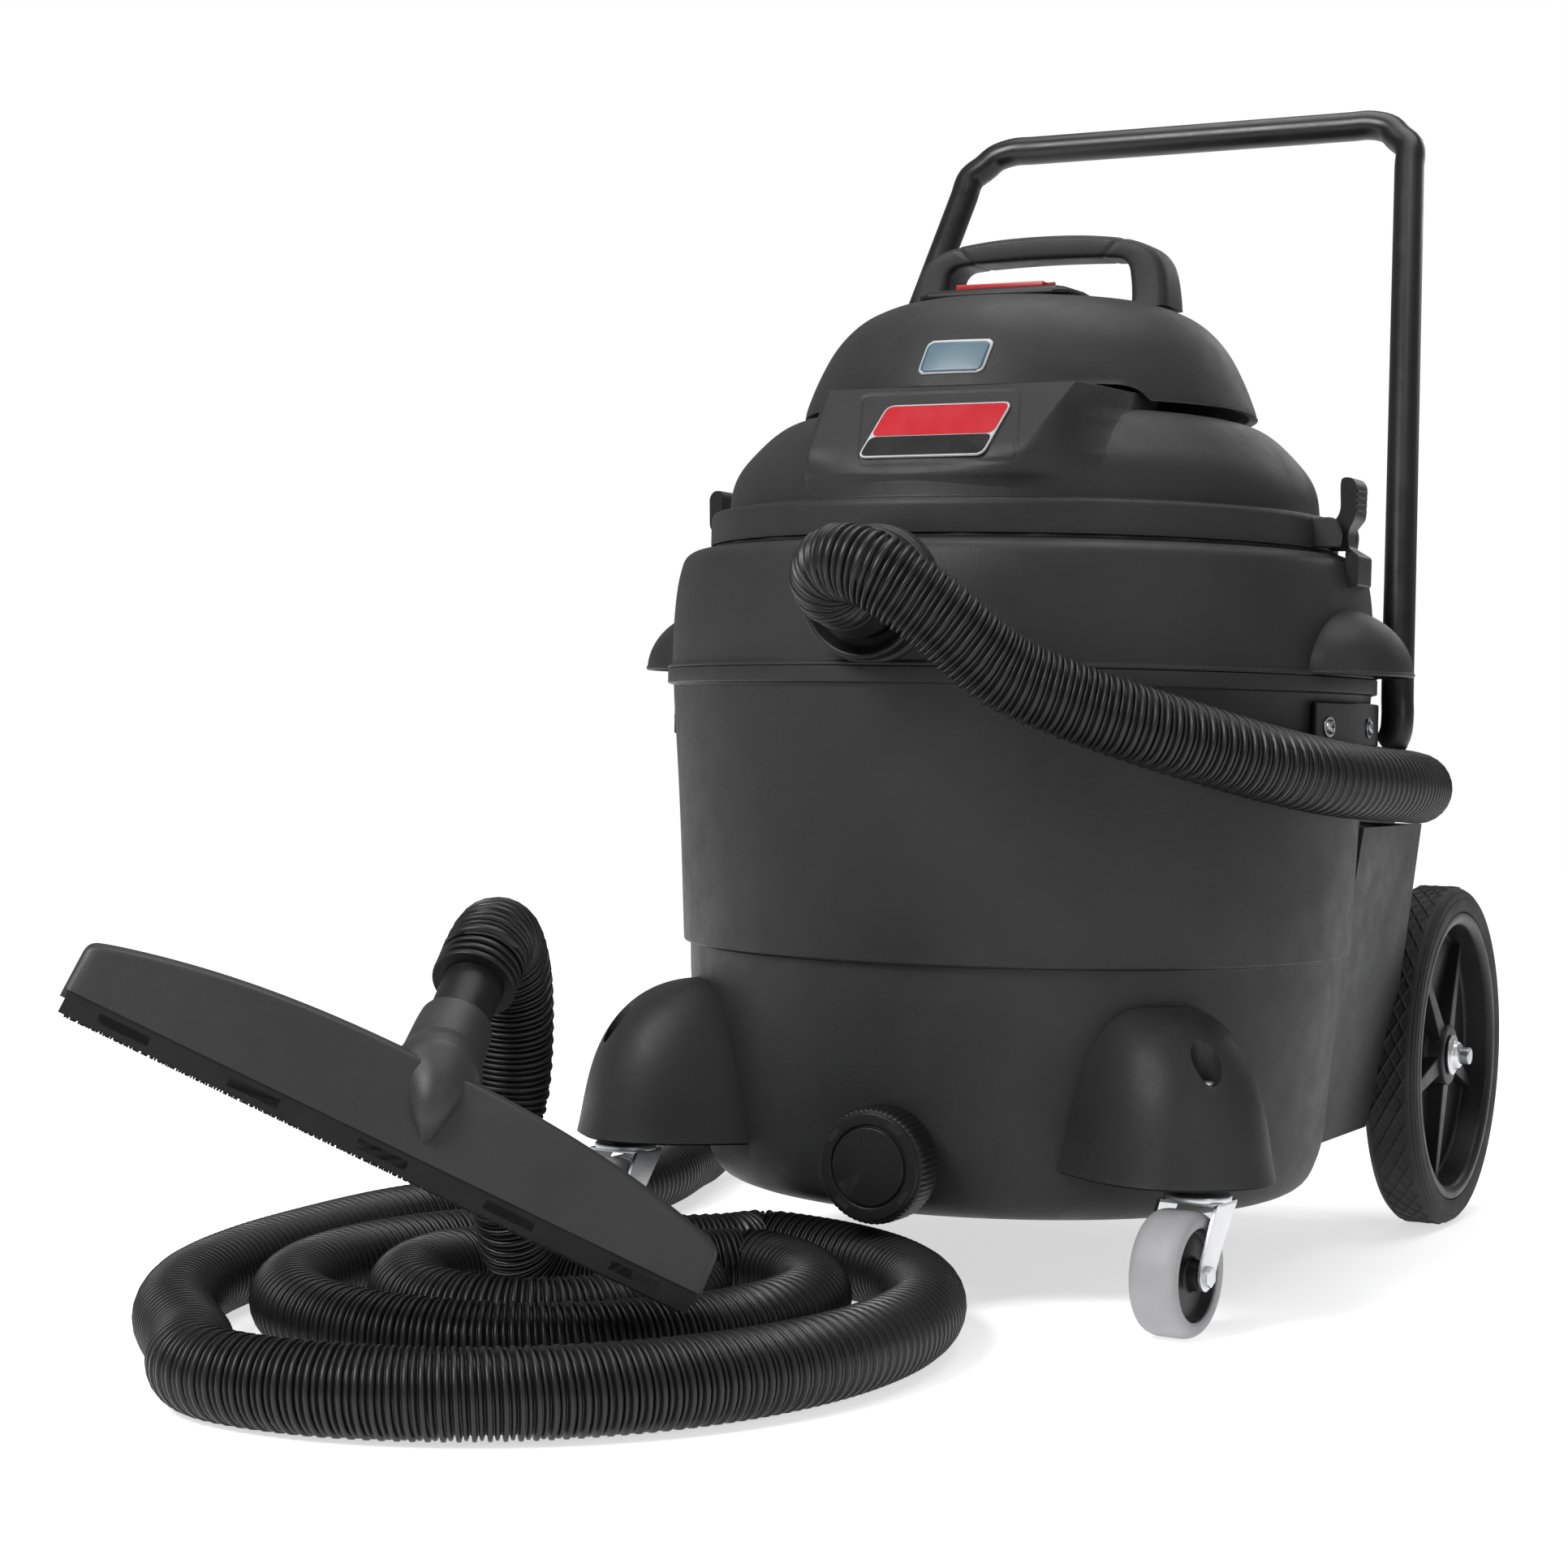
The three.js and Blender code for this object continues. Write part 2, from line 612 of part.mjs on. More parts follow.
// One edge of the coil over one turn, the hose's radius outside or inside its middle line.
function coilEdge(start, outward) {
  return Array.from({ length: COIL_STEPS + 1 }, (_, i) => {
    const turns = start + i / COIL_STEPS;
    const [ahead, behind] = [coilPoint(turns + 0.01), coilPoint(turns - 0.01)];
    const along = new THREE.Vector2(ahead[0] - behind[0], ahead[1] - behind[1]).normalize();
    const [x, y] = coilPoint(turns);
    return [x + along.y * outward, y - along.x * outward];
  });
}
const outerEdge = coilEdge(COIL_START, HOSE_RADIUS);
const innerEdge = coilEdge(COIL_END - 1, -HOSE_RADIUS);
outerEdge.at(-1)[0] = outerEdge[0][0];
innerEdge[0][0] = innerEdge.at(-1)[0];
const coilBody = raised(outerEdge, GAP, 2 * HOSE_RADIUS + GAP, [innerEdge]);

// The run reaches the coil's front from the left.
const [coilStartX, coilStartY] = coilPoint(COIL_START);
const [coilEndX, coilEndY] = coilPoint(COIL_END);
const floorHose = HOSE_RADIUS + GAP;
const runEnd = [
  [coilStartX - 62, coilStartY + 7, floorHose],
  [coilStartX - 2 * GAP, coilStartY, floorHose],
];
place(machine, "hose_run", tubeAlong([...runRoute, ...runEnd], HOSE_RADIUS, 60), rubber);
place(machine, "hose_coil", coilBody, rubber);

// The nozzle's own frame: x along it, y away behind it, z up from its mouth.
const nozzleFrom = new THREE.Vector3(-221, -740, 210);
const nozzleTo = new THREE.Vector3(51, -551, 50);
const nozzleLength = nozzleFrom.distanceTo(nozzleTo);
const nozzleX = nozzleTo.clone().sub(nozzleFrom).normalize();
const nozzleUp = new THREE.Vector3(0.3621, 0.2584, 0.8965);
const nozzleY = nozzleUp.clone().cross(nozzleX).normalize();
const nozzleZ = nozzleX.clone().cross(nozzleY);
const BRUSH_DROP = 9; // the brushes stand this far out of the nozzle's mouth
const nozzle = new THREE.Group();
const nozzleMatrix = new THREE.Matrix4().makeBasis(nozzleX, nozzleY, nozzleZ);
nozzle.quaternion.setFromRotationMatrix(nozzleMatrix);
nozzle.position.copy(nozzleFrom).addScaledVector(nozzleZ, BRUSH_DROP);
machine.add(nozzle);

const NOZZLE_DEPTH = 56;
const NECK_LEAN = THREE.MathUtils.degToRad(47); // the neck leans back from the nozzle's height
const NECK_RADIUS = 17;
const NECK_START = new THREE.Vector3(nozzleLength / 2 + 9, 16, 18);
const NECK_TOP = 124;
const CUFF_START = 110;
const CUFF_TOP = 126;

// A brush strip stands along the front and along the rear edge of the nozzle's mouth.
const brushEdges = [3.6, NOZZLE_DEPTH - 10.6];
function brushStrip(near, grow = 0) {
  const [from, to] = [4 - grow, nozzleLength - 4 + grow];
  return block(from, to, near - grow, near + 7 + grow, -BRUSH_DROP, 6 + grow);
}

// The nozzle's section at a place along it: a wedge that is highest in the middle.
function nozzleRing(x, lower, inset) {
  const share = (x / nozzleLength) * 2 - 1;
  const height = 53 - 22 * Math.pow(Math.abs(share), 2.4) - inset;
  const back = NOZZLE_DEPTH - inset;
  return [[x, inset, lower], [x, back, lower], [x, back, 12], [x, back - 18, height * 0.75],
    [x, 24, height], [x, 10 + inset, height - 1], [x, inset, height * 0.55]];
}
function nozzleShell() {
  const places = [0, 4, 45, 100, 150, 181, 212, 262, 317, 358, nozzleLength];
  const skin = loft(places.map((x, i) => {
    const end = i === 0 || i === places.length - 1;
    return nozzleRing(x, 0, end ? 3 : 0);
  }));
  const hollow = loft(places.slice(1, -1).map((x) => nozzleRing(
    3.5 + (x - 4) * (nozzleLength - 7) / (nozzleLength - 8), -1, 3.2)));
  const sleeve = turned([[0, -16], [15, -16], [21, -4], [21.5, 30], [19.4, 72], [18.4, 80],
    [0, 80]], 16).rotateX(-NECK_LEAN).translate(...NECK_START.toArray());
  const bore = turned([[0, -6], [12, -6], [12, 30], [NECK_RADIUS + GAP, 32],
    [NECK_RADIUS + GAP, 90], [0, 90]], 16)
    .rotateX(-NECK_LEAN).translate(...NECK_START.toArray());
  const belowMouth = block(-1, nozzleLength + 1, -60, 90, -60, 0);
  const slots = brushEdges.map((near) => brushStrip(near, GAP));
  return cut(join(skin, sleeve), hollow, bore, belowMouth, ...slots);
}
place(nozzle, "nozzle_body", nozzleShell(), black);

// The neck tube stands in the sleeve and carries the hose's cuff.
const neckTube = washer(14.8, NECK_RADIUS, 34, NECK_TOP);
const toolCuff = washer(NECK_RADIUS + GAP, HOSE_RADIUS, CUFF_START, CUFF_TOP);
for (const [name, piece, material] of [
  ["nozzle_neck", neckTube, black],
  ["hose_cuff_tool", toolCuff, rubber],
]) {
  const mesh = place(nozzle, name, piece, material);
  mesh.position.copy(NECK_START);
  mesh.rotation.x = -NECK_LEAN;
}

brushEdges.forEach((near, i) => {
  place(nozzle, "nozzle_brush_" + ["front", "rear"][i], brushStrip(near), bristle);
});

// The hose leaves the coil's inner end, stands up and bends over into the tool's cuff.
const neckAxis = new THREE.Vector3(0, Math.sin(NECK_LEAN), Math.cos(NECK_LEAN));
function onNeck(distance) {
  const local = NECK_START.clone().addScaledVector(neckAxis, distance);
  return local.applyQuaternion(nozzle.quaternion).add(nozzle.position).toArray();
}
const riserRoute = [
  [coilEndX - 2 * GAP, coilEndY, floorHose],
  [coilEndX - 9, coilEndY - 2, floorHose],
  [coilEndX - 34, coilEndY - 26, floorHose + 3],
  [coilEndX - 49, coilEndY - 46, floorHose + 20],
  [coilEndX - 45, coilEndY - 70, floorHose + 52],
  [-141, -440, 112],
  [-133, -440, 150],
  [-127, -447, 188],
  [-121, -460, 217],
  [-114, -480, 236],
  [-106, -501, 240],
  onNeck(CUFF_TOP + 8),
  onNeck(CUFF_TOP + GAP),
];
place(machine, "hose_riser", tubeAlong(riserRoute, HOSE_RADIUS, 20), rubber);

// The machine end of the hose: a smooth cuff pushed into the port.
const cuffOutline = [[0, 222], [26, 222], [26, 250], [29, 262], [25.5, 272], [24.6, 280],
  [0, 280]];
const machineCuff = cut(
  towardsFront(turned(cuffOutline, 16)),
  towardsFront(disc(19, 220, 276, 12)),
).translate(0, 0, PORT_Z);
place(machine, "hose_cuff_port", machineCuff, black);

// ---- Motor head ---------------------------------------------------------------------------
const lidOutline = [
  [BAND_RADIUS, BAND_BOTTOM],
  [BAND_RADIUS, 506],
  [213, 509],
  [202, 510],
  [201, 526],
  [196, 538],
  [186.5, 549.5],
  [173, 563],
  [160, 571],
  [145, LID_TOP],
  [0, LID_TOP],
];
const LID_WALL = 3.5;
const lidInside = lidOutline.map(([radius, height]) => [
  Math.max(radius - LID_WALL, 0),
  Math.min(height, LID_TOP - LID_WALL),
]);
lidInside[0][1] = BAND_BOTTOM - 1;
const noseOutline = [[-120, 560], [-120, 583.6], [-166, 583.6], [-205, 524], [-203, 511],
  [-150, 511]];
const nose = raised(noseOutline, -72, 72).rotateX(Math.PI / 2).rotateZ(Math.PI / 2);
const noseWings = [1, -1].map((side) => block(-40, 40, -260, -60, 500, 600)
  .rotateZ(side * 0.32).translate(side * 118, 0, 0));
const earOuter = block(205, 233, -22, 22, BAND_BOTTOM, 507);
const earRoom = block(214.8, 240, -15.4, 15.4, BAND_BOTTOM - 5, 520);
const PIN_X = 226;
const PIN_Z = 497;
const CLAMP_PIN_RADIUS = 2.5;
const pinHole = disc(CLAMP_PIN_RADIUS + GAP, -30, 30, 10).rotateX(Math.PI / 2)
  .translate(PIN_X, 0, PIN_Z);
const lidSolid = join(
  turned([[0, BAND_BOTTOM], ...lidOutline]),
  cut(nose, ...noseWings),
  earOuter,
  mirrored(earOuter),
);
const lidShell = cut(
  lidSolid,
  turned([[0, BAND_BOTTOM - 1], ...lidInside]),
  earRoom,
  mirrored(earRoom),
  pinHole,
  mirrored(pinHole),
);
place(head, "lid", lidShell, charcoal);
place(head, "lid_gasket", washer(207, 214.6, RING_TOP + GAP, BAND_BOTTOM - GAP, ROUND), rubber);

// The pan closes the lid from below and holds the motor.
const INLET_RADIUS = 24; // the float closes this hole when the tank is full
place(head, "motor_pan", turned([[INLET_RADIUS, 487], [204, 487], [204, 490], [70, 490], [70, 491],
  [INLET_RADIUS, 491]]), black);

const cowlOutline = [
  [155, 577],
  [154.5, 584],
  [147, 603],
  [135.5, 626],
  [119, 643],
  [100, 652],
  [88, COWL_TOP],
  [0, COWL_TOP],
];
const cowlInside = cowlOutline.map(([radius, height]) => [
  Math.max(radius - 3, 0),
  Math.min(height, COWL_TOP - 3),
]);
cowlInside[0][1] = 570;
const cowl = cut(
  turned([[0, 577], ...cowlOutline]),
  turned([[0, 570], ...cowlInside]),
  block(-80, 114, -200, -60, 560, 586.2),
).translate(0, COWL_Y, 0);
place(head, "head_cowl", cowl, charcoal);

// The carrying handle bridges the cowl from side to side.
const CARRY_HANDLE_Y = 34;
const handleOutline = [[-91, 0], [-88, 23], [-80, 38], [-62, 46], [62, 46], [80, 38], [88, 23],
  [91, 0], [66, 0], [64, 20], [57, 28], [-57, 28], [-64, 20], [-66, 0]];
const carryHandle = raised(handleOutline, -18, 18).rotateX(Math.PI / 2)
  .translate(0, CARRY_HANDLE_Y, COWL_TOP + 2 * GAP);
place(head, "carry_handle", carryHandle, charcoal);

const ROCKER_HALF = 32;
const ROCKER_Y = -38;
const bezelBody = loft([[0, 0], [3, 0], [6, 5]].map(([height, inset]) => [
  [-54 + inset, -60 + inset], [-46, -66 + inset], [46, -66 + inset], [54 - inset, -60 + inset],
  [56 - inset, -22], [-56 + inset, -22],
].map(([x, y]) => [x, y, COWL_TOP + GAP + height])));
const rockerRoom = block(-ROCKER_HALF - 1, ROCKER_HALF + 1, ROCKER_Y - 13, ROCKER_Y + 13, 656, 680);
place(head, "switch_bezel", cut(bezelBody, rockerRoom), black);
const rockerOutline = [[-11.5, 1], [-11.5, 4.5], [0, 3.6], [11.5, 6.8], [11.5, 2.6], [0, -1.6],
  [-4, -1.4]];
const rocker = raised(rockerOutline, -ROCKER_HALF, ROCKER_HALF)
  .rotateX(Math.PI / 2).rotateZ(Math.PI / 2).translate(0, ROCKER_Y, 662);
place(head, "power_rocker", rocker, red);

// Motor, fan and bearings, top to bottom on one shaft.
const SHAFT_RADIUS = 5;
place(head, "motor_housing", cut(
  turned([[18, 520], [60, 520], [60, 560], [50, 568], [13, 568], [13, 565], [48, 565], [57, 558],
    [57, 523], [18, 523]], 16),
  block(-70, 70, -8, 8, 530, 552),
), aluminium);
place(head, "bearing_top", washer(SHAFT_RADIUS + GAP, 12.4, 561, 568, 14), steel);
place(head, "bearing_bottom", washer(SHAFT_RADIUS + GAP, 17.4, 518, 524, 14), steel);
place(head, "fan_case", turned([[INLET_RADIUS, 492], [82, 492], [84, 494], [84, 516], [82, 517.6],
  [22, 517.6], [22, 515.4], [81, 515.4], [81, 495], [INLET_RADIUS, 495]], 18), aluminium);
place(head, "armature", turned([[0, 500], [SHAFT_RADIUS, 500], [SHAFT_RADIUS, 528],
  [33, 528], [33, 555], [SHAFT_RADIUS, 555], [SHAFT_RADIUS, 569.5], [0, 569.5]], 20), copper);
place(head, "impeller", turned([[SHAFT_RADIUS + GAP, 498], [28, 498], [30, 499], [74, 503],
  [74, 512], [SHAFT_RADIUS + GAP, 512]], 16), aluminium);

// Filter cage with its windows and threaded stud, and the pleated cartridge round it.
const CAGE_BOTTOM = 345;
const CAGE_RADIUS = 60;
const cageShell = turned([[0, CAGE_BOTTOM], [CAGE_RADIUS, CAGE_BOTTOM], [CAGE_RADIUS, 482],
  [68, 482], [68, 486.5], [56, 486.5], [56, CAGE_BOTTOM + 4], [0, CAGE_BOTTOM + 4]], 24);
const cageWindows = [0, 1, 2].map((i) => block(-80, 80, -17, 17, 362, 470)
  .rotateZ((i * Math.PI) / 3));
const stud = disc(5, 320, CAGE_BOTTOM + 1, 12);
place(head, "filter_cage", cut(join(cageShell, stud), ...cageWindows), black);
place(head, "filter_cartridge",
  raised(lobed(26, 84, 95), 352, 481.6, [lobed(26, 61, 64)]), paper);
place(head, "filter_retainer", turned([[5.4, 338], [98, 338], [98, 351.6], [62, 351.6],
  [62, 344.6], [5.4, 344.6]], 18), black);
place(head, "filter_nut", cut(raised(lobed(6, 17, 23, 4), 324, 337.6), disc(5.4, 320, 340, 12)),
  black);
const FLOAT_RADIUS = 27;
place(head, "float_ball",
  new THREE.SphereGeometry(FLOAT_RADIUS, 12, 8).translate(0, 0, CAGE_BOTTOM + 4 + FLOAT_RADIUS + GAP),
  red);

// Clamps: a lever on a pin between two ears, its hook outside the ring's catch.
const leverOutline = [[237.4, 465], [243, 465], [243, 490], [240, 512], [245, 528], [241, 530],
  [234.5, 514], [232, 503], [222, 503], [220.4, 497], [222, 491], [237.4, 488]];
const lever = raised(leverOutline, -14.4, 14.4).rotateX(Math.PI / 2);
const leverBore = disc(CLAMP_PIN_RADIUS + GAP, -30, 30, 10).rotateX(Math.PI / 2)
  .translate(PIN_X, 0, PIN_Z);
placePair(head, "clamp_lever", cut(lever, leverBore), black);
placePair(head, "clamp_pin",
  disc(CLAMP_PIN_RADIUS, -21, 21, 10).rotateX(Math.PI / 2).translate(PIN_X, 0, PIN_Z), zinc);

// The power cord's inlet at the back of the lid.
place(head, "cord_gland", cut(
  turned([[0, 0], [15, 0], [15, 4], [9, 5], [7, 26], [0, 26]], 12),
  disc(4.5, 8, 30, 12),
).rotateX(-Math.PI / 2).translate(0, 202, 529), rubber);

// A blank label plate on the nose.
const labelTilt = Math.atan2(583.6 - 524, 205 - 166);
place(head, "front_label", block(-47, 47, -0.5, 0.5, -24, 21)
  .rotateX(-(Math.PI / 2 - labelTilt)).translate(17, -186.4, 554), red);

export default machine;
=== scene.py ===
"""The looks of a wet and dry drum vacuum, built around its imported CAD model."""

import math
import random

import bmesh
import bpy
import numpy as np
from mathutils import Matrix, Vector


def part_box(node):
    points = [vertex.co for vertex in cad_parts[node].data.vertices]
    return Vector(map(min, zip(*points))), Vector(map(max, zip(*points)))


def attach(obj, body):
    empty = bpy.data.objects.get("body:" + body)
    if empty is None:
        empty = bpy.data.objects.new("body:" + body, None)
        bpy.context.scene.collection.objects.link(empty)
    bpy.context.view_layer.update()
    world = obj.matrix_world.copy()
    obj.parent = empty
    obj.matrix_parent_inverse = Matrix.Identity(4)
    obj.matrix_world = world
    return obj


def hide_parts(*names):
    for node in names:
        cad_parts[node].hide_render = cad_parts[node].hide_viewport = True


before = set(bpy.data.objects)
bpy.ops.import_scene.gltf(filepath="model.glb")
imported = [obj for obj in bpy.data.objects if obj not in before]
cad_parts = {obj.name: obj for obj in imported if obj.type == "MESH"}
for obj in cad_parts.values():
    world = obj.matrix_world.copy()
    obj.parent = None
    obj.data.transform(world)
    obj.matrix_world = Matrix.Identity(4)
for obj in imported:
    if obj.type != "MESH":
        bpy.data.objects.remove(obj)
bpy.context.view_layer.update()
random.seed(5)

# Shapes are given in millimetres from the tank's axis, with the floor at zero height.
MM = 0.001
gasket_low, gasket_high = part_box("lid_gasket")
TANK_Y = (gasket_low.y + gasket_high.y) / 2


def at(x, y, z):
    """A place in Blender's metres."""
    return Vector((x * MM, y * MM + TANK_Y, z * MM))


# ---- Camera -------------------------------------------------------------------------------
CAMERA_PLACE = Vector((0.8239, -2.0582, 0.3597))
CAMERA_FORWARD = Vector((-0.4557, 0.8900, -0.01668)).normalized()
CAMERA_ROLL = math.radians(1.08)

camera_data = bpy.data.cameras.new("camera")
camera_data.lens = 70.45
camera_data.sensor_width = 36
camera = bpy.data.objects.new("camera", camera_data)
bpy.context.scene.collection.objects.link(camera)
aim = CAMERA_FORWARD.to_track_quat("-Z", "Y").to_matrix().to_4x4()
camera.matrix_world = Matrix.Translation(CAMERA_PLACE) @ aim @ Matrix.Rotation(CAMERA_ROLL, 4, "Z")
bpy.context.scene.camera = camera


# ---- Materials ----------------------------------------------------------------------------
class Nodes:
    """A material's node tree with short calls to add nodes and links."""

    def __init__(self, name):
        self.material = bpy.data.materials.new(name)
        self.material.use_nodes = True
        self.tree = self.material.node_tree
        self.shader = self.tree.nodes["Principled BSDF"]
        self.place = self.add("ShaderNodeTexCoord").outputs["Object"]

    def add(self, kind, **settings):
        node = self.tree.nodes.new(kind)
        for key, value in settings.items():
            setattr(node, key, value)
        return node

    def link(self, source, target):
        self.tree.links.new(source, target)

    def noise(self, scale, detail=4.0, roughness=0.5, stretch=None):
        node = self.add("ShaderNodeTexNoise")
        node.inputs["Scale"].default_value = scale
        node.inputs["Detail"].default_value = detail
        node.inputs["Roughness"].default_value = roughness
        place = self.place
        if stretch:
            mapping = self.add("ShaderNodeMapping")
            mapping.inputs["Scale"].default_value = stretch
            self.link(place, mapping.inputs["Vector"])
            place = mapping.outputs["Vector"]
        self.link(place, node.inputs["Vector"])
        return node.outputs["Fac"]

    def spread(self, value, low, high, to_low, to_high):
        node = self.add("ShaderNodeMapRange")
        for key, number in zip(("From Min", "From Max", "To Min", "To Max"),
                               (low, high, to_low, to_high)):
            node.inputs[key].default_value = number
        self.link(value, node.inputs["Value"])
        return node.outputs["Result"]

    def math(self, operation, first, second):
        node = self.add("ShaderNodeMath", operation=operation)
        for socket, value in zip(node.inputs, (first, second)):
            if isinstance(value, (int, float)):
                socket.default_value = value
            else:
                self.link(value, socket)
        return node.outputs["Value"]

    def mix(self, share, first, second):
        node = self.add("ShaderNodeMix", data_type="RGBA")
        self.link(share, node.inputs["Factor"])
        colours = [s for s in node.inputs if s.type == "RGBA"]
        for socket, value in zip(colours, (first, second)):
            if isinstance(value, tuple):
                socket.default_value = (*value, 1)
            else:
                self.link(value, socket)
        return [s for s in node.outputs if s.type == "RGBA"][0]


DUST = (0.20, 0.19, 0.175)


def surface(name, colour, rough, metallic=0.0, grain=1400, bump=0.12, blotch=0.15,
            scratch=0.0, dust=0.0, worn=None, specular=0.5):
    """A moulded, painted or metal finish with grain, uneven gloss, scratches, dust and wear."""
    n = Nodes(name)
    darker = tuple(c * (1 - blotch) for c in colour)
    lighter = tuple(c * (1 + blotch) for c in colour)
    tone = n.mix(n.spread(n.noise(9, 5), 0.35, 0.65, 0, 1), darker, lighter)
    fine = n.noise(grain, 3, 0.6)
    uneven = n.noise(42, 6, 0.65)
    roughness = n.spread(uneven, 0.3, 0.7, rough - 0.07, rough + 0.07)
    height = fine
    if scratch:
        marks = n.noise(30, 2, 0.5, (1, 6, 34))
        lines = n.spread(marks, 0.66, 0.72, 0, scratch)
        tone = n.mix(lines, tone, tuple(min(c * 2.2 + 0.02, 1) for c in colour))
        roughness = n.math("ADD", roughness, n.math("MULTIPLY", lines, 0.25))
        height = n.math("SUBTRACT", fine, lines)
    if worn:
        edge = n.add("ShaderNodeNewGeometry").outputs["Pointiness"]
        rubbed = n.math("MULTIPLY", n.spread(edge, 0.53, 0.62, 0, 0.55),
                        n.spread(n.noise(75, 5), 0.4, 0.6, 0.2, 1))
        tone = n.mix(rubbed, tone, worn)
    if dust:
        up = n.add("ShaderNodeSeparateXYZ")
        n.link(n.add("ShaderNodeNewGeometry").outputs["Normal"], up.inputs["Vector"])
        lying = n.math("MULTIPLY", n.spread(up.outputs["Z"], 0.2, 1.0, 0.08, 1),
                       n.spread(n.noise(26, 8, 0.7), 0.45, 0.75, 0, dust))
        tone = n.mix(lying, tone, DUST)
        roughness = n.math("ADD", roughness, n.math("MULTIPLY", lying, 0.5))
    relief = n.add("ShaderNodeBump")
    relief.inputs["Strength"].default_value = bump
    relief.inputs["Distance"].default_value = 0.0006
    n.link(height, relief.inputs["Height"])
    n.link(relief.outputs["Normal"], n.shader.inputs["Normal"])
    n.link(tone, n.shader.inputs["Base Color"])
    n.link(roughness, n.shader.inputs["Roughness"])
    n.shader.inputs["Metallic"].default_value = metallic
    n.shader.inputs["Specular IOR Level"].default_value = specular
    return n.material


LOOKS = {
    "charcoal_plastic": dict(colour=(0.0205, 0.0207, 0.0214), rough=0.46, grain=1100, bump=0.3,
                             scratch=0.06, dust=0.05, specular=0.22, worn=(0.04, 0.04, 0.041)),
    "black_plastic": dict(colour=(0.008, 0.008, 0.0085), rough=0.38, bump=0.15, scratch=0.05,
                          dust=0.05, specular=0.26, worn=(0.03, 0.03, 0.03)),
    "hose_vinyl": dict(colour=(0.006, 0.006, 0.0062), rough=0.4, grain=800, bump=0.03,
                       specular=0.36),
    "rubber": dict(colour=(0.011, 0.011, 0.0113), rough=0.66, grain=700, bump=0.45, dust=0.12,
                   blotch=0.25, specular=0.35),
    "painted_steel": dict(colour=(0.006, 0.006, 0.0063), rough=0.33, grain=500, bump=0.06,
                          scratch=0.05, specular=0.4),
    "zinc_plate": dict(colour=(0.62, 0.63, 0.65), rough=0.34, metallic=1.0, grain=300, bump=0.12,
                       scratch=0.3, worn=(0.8, 0.8, 0.82)),
    "steel": dict(colour=(0.45, 0.46, 0.48), rough=0.36, metallic=1.0, grain=400, bump=0.1,
                  scratch=0.3),
    "copper": dict(colour=(0.55, 0.24, 0.12), rough=0.4, metallic=1.0, grain=260, bump=0.5),
    "aluminium": dict(colour=(0.55, 0.56, 0.58), rough=0.44, metallic=1.0, grain=500, bump=0.25,
                      scratch=0.2),
    "grey_tread": dict(colour=(0.30, 0.30, 0.31), rough=0.58, grain=500, bump=0.3, dust=0.25),
    "red_plastic": dict(colour=(0.42, 0.012, 0.016), rough=0.35, bump=0.12, scratch=0.1),
    "label_film": dict(colour=(0.40, 0.012, 0.02), rough=0.3, grain=300, bump=0.04, blotch=0.08,
                       specular=0.3),
    "paper": dict(colour=(0.62, 0.58, 0.47), rough=0.88, grain=260, bump=0.7, dust=0.3),
    "bristle": dict(colour=(0.005, 0.005, 0.005), rough=0.7, grain=900, bump=0.4, dust=0.05,
                    specular=0.3),
    "label_dark": dict(colour=(0.01, 0.01, 0.011), rough=0.3, grain=300, bump=0.04, specular=0.3),
    "label_edge": dict(colour=(0.42, 0.42, 0.43), rough=0.35, grain=300, bump=0.05),
    "badge_blue": dict(colour=(0.05, 0.105, 0.135), rough=0.34, grain=300, bump=0.05),
    "nozzle_grey": dict(colour=(0.028, 0.028, 0.0285), rough=0.44, grain=1100, bump=0.25,
                        scratch=0.05, dust=0.04, specular=0.3),
    # Near-black finish for small blocks and sheets that are painted shade, standing in for the
    # shade inside holes, notches and hollows.
    "painted_recess_shade": dict(colour=(0.003, 0.003, 0.003), rough=0.8, bump=0.3),
}
FINISHES = {name: surface(name, **look) for name, look in LOOKS.items()}


# ---- Mesh helpers -------------------------------------------------------------------------
# A placement takes a point of a shape to its place. "same" leaves it where it is.
def same(x, y, z):
    return x, y, z


def towards_front(x, y, z):
    return x, -z, y


def towards_right(x, y, z):
    return z, y, -x


def shifted(turn, dx, dy, dz):
    """A placement with a shift after it."""
    def move(x, y, z):
        a, b, c = turn(x, y, z)
        return a + dx, b + dy, c + dz
    return move


def swapped(x, y, z):
    return x, z, y


def flipped(x, y, z):
    return -x, y, z


def then(first, last):
    """One placement after another."""
    return lambda x, y, z: last(*first(x, y, z))


def turned_by(angle):
    """A turn about the upright axis."""
    c, s = math.cos(angle), math.sin(angle)
    return lambda x, y, z: (x * c - y * s, x * s + y * c, z)


SIDES = (("right", same), ("left", flipped))


def squared(value, power):
    """A cosine or sine whose circle is pushed out towards a square."""
    return math.copysign(abs(value) ** power, value)


def rounded(points, closed=False, steps=4):
    """A polyline whose corners (x, y, radius) become short arcs."""
    result = []
    count = len(points)
    for i, (x, y, *rest) in enumerate(points):
        radius = rest[0] if rest else 0
        if radius == 0 or (not closed and i in (0, count - 1)):
            result.append((x, y))
            continue
        here = Vector((x, y))
        before = Vector(points[i - 1][:2]) - here
        after = Vector(points[(i + 1) % count][:2]) - here
        first = here + before.normalized() * min(radius, before.length * 0.48)
        last = here + after.normalized() * min(radius, after.length * 0.48)
        for k in range(steps + 1):
            t = k / steps
            result.append(tuple(first * (1 - t) ** 2 + here * 2 * t * (1 - t) + last * t * t))
    return result


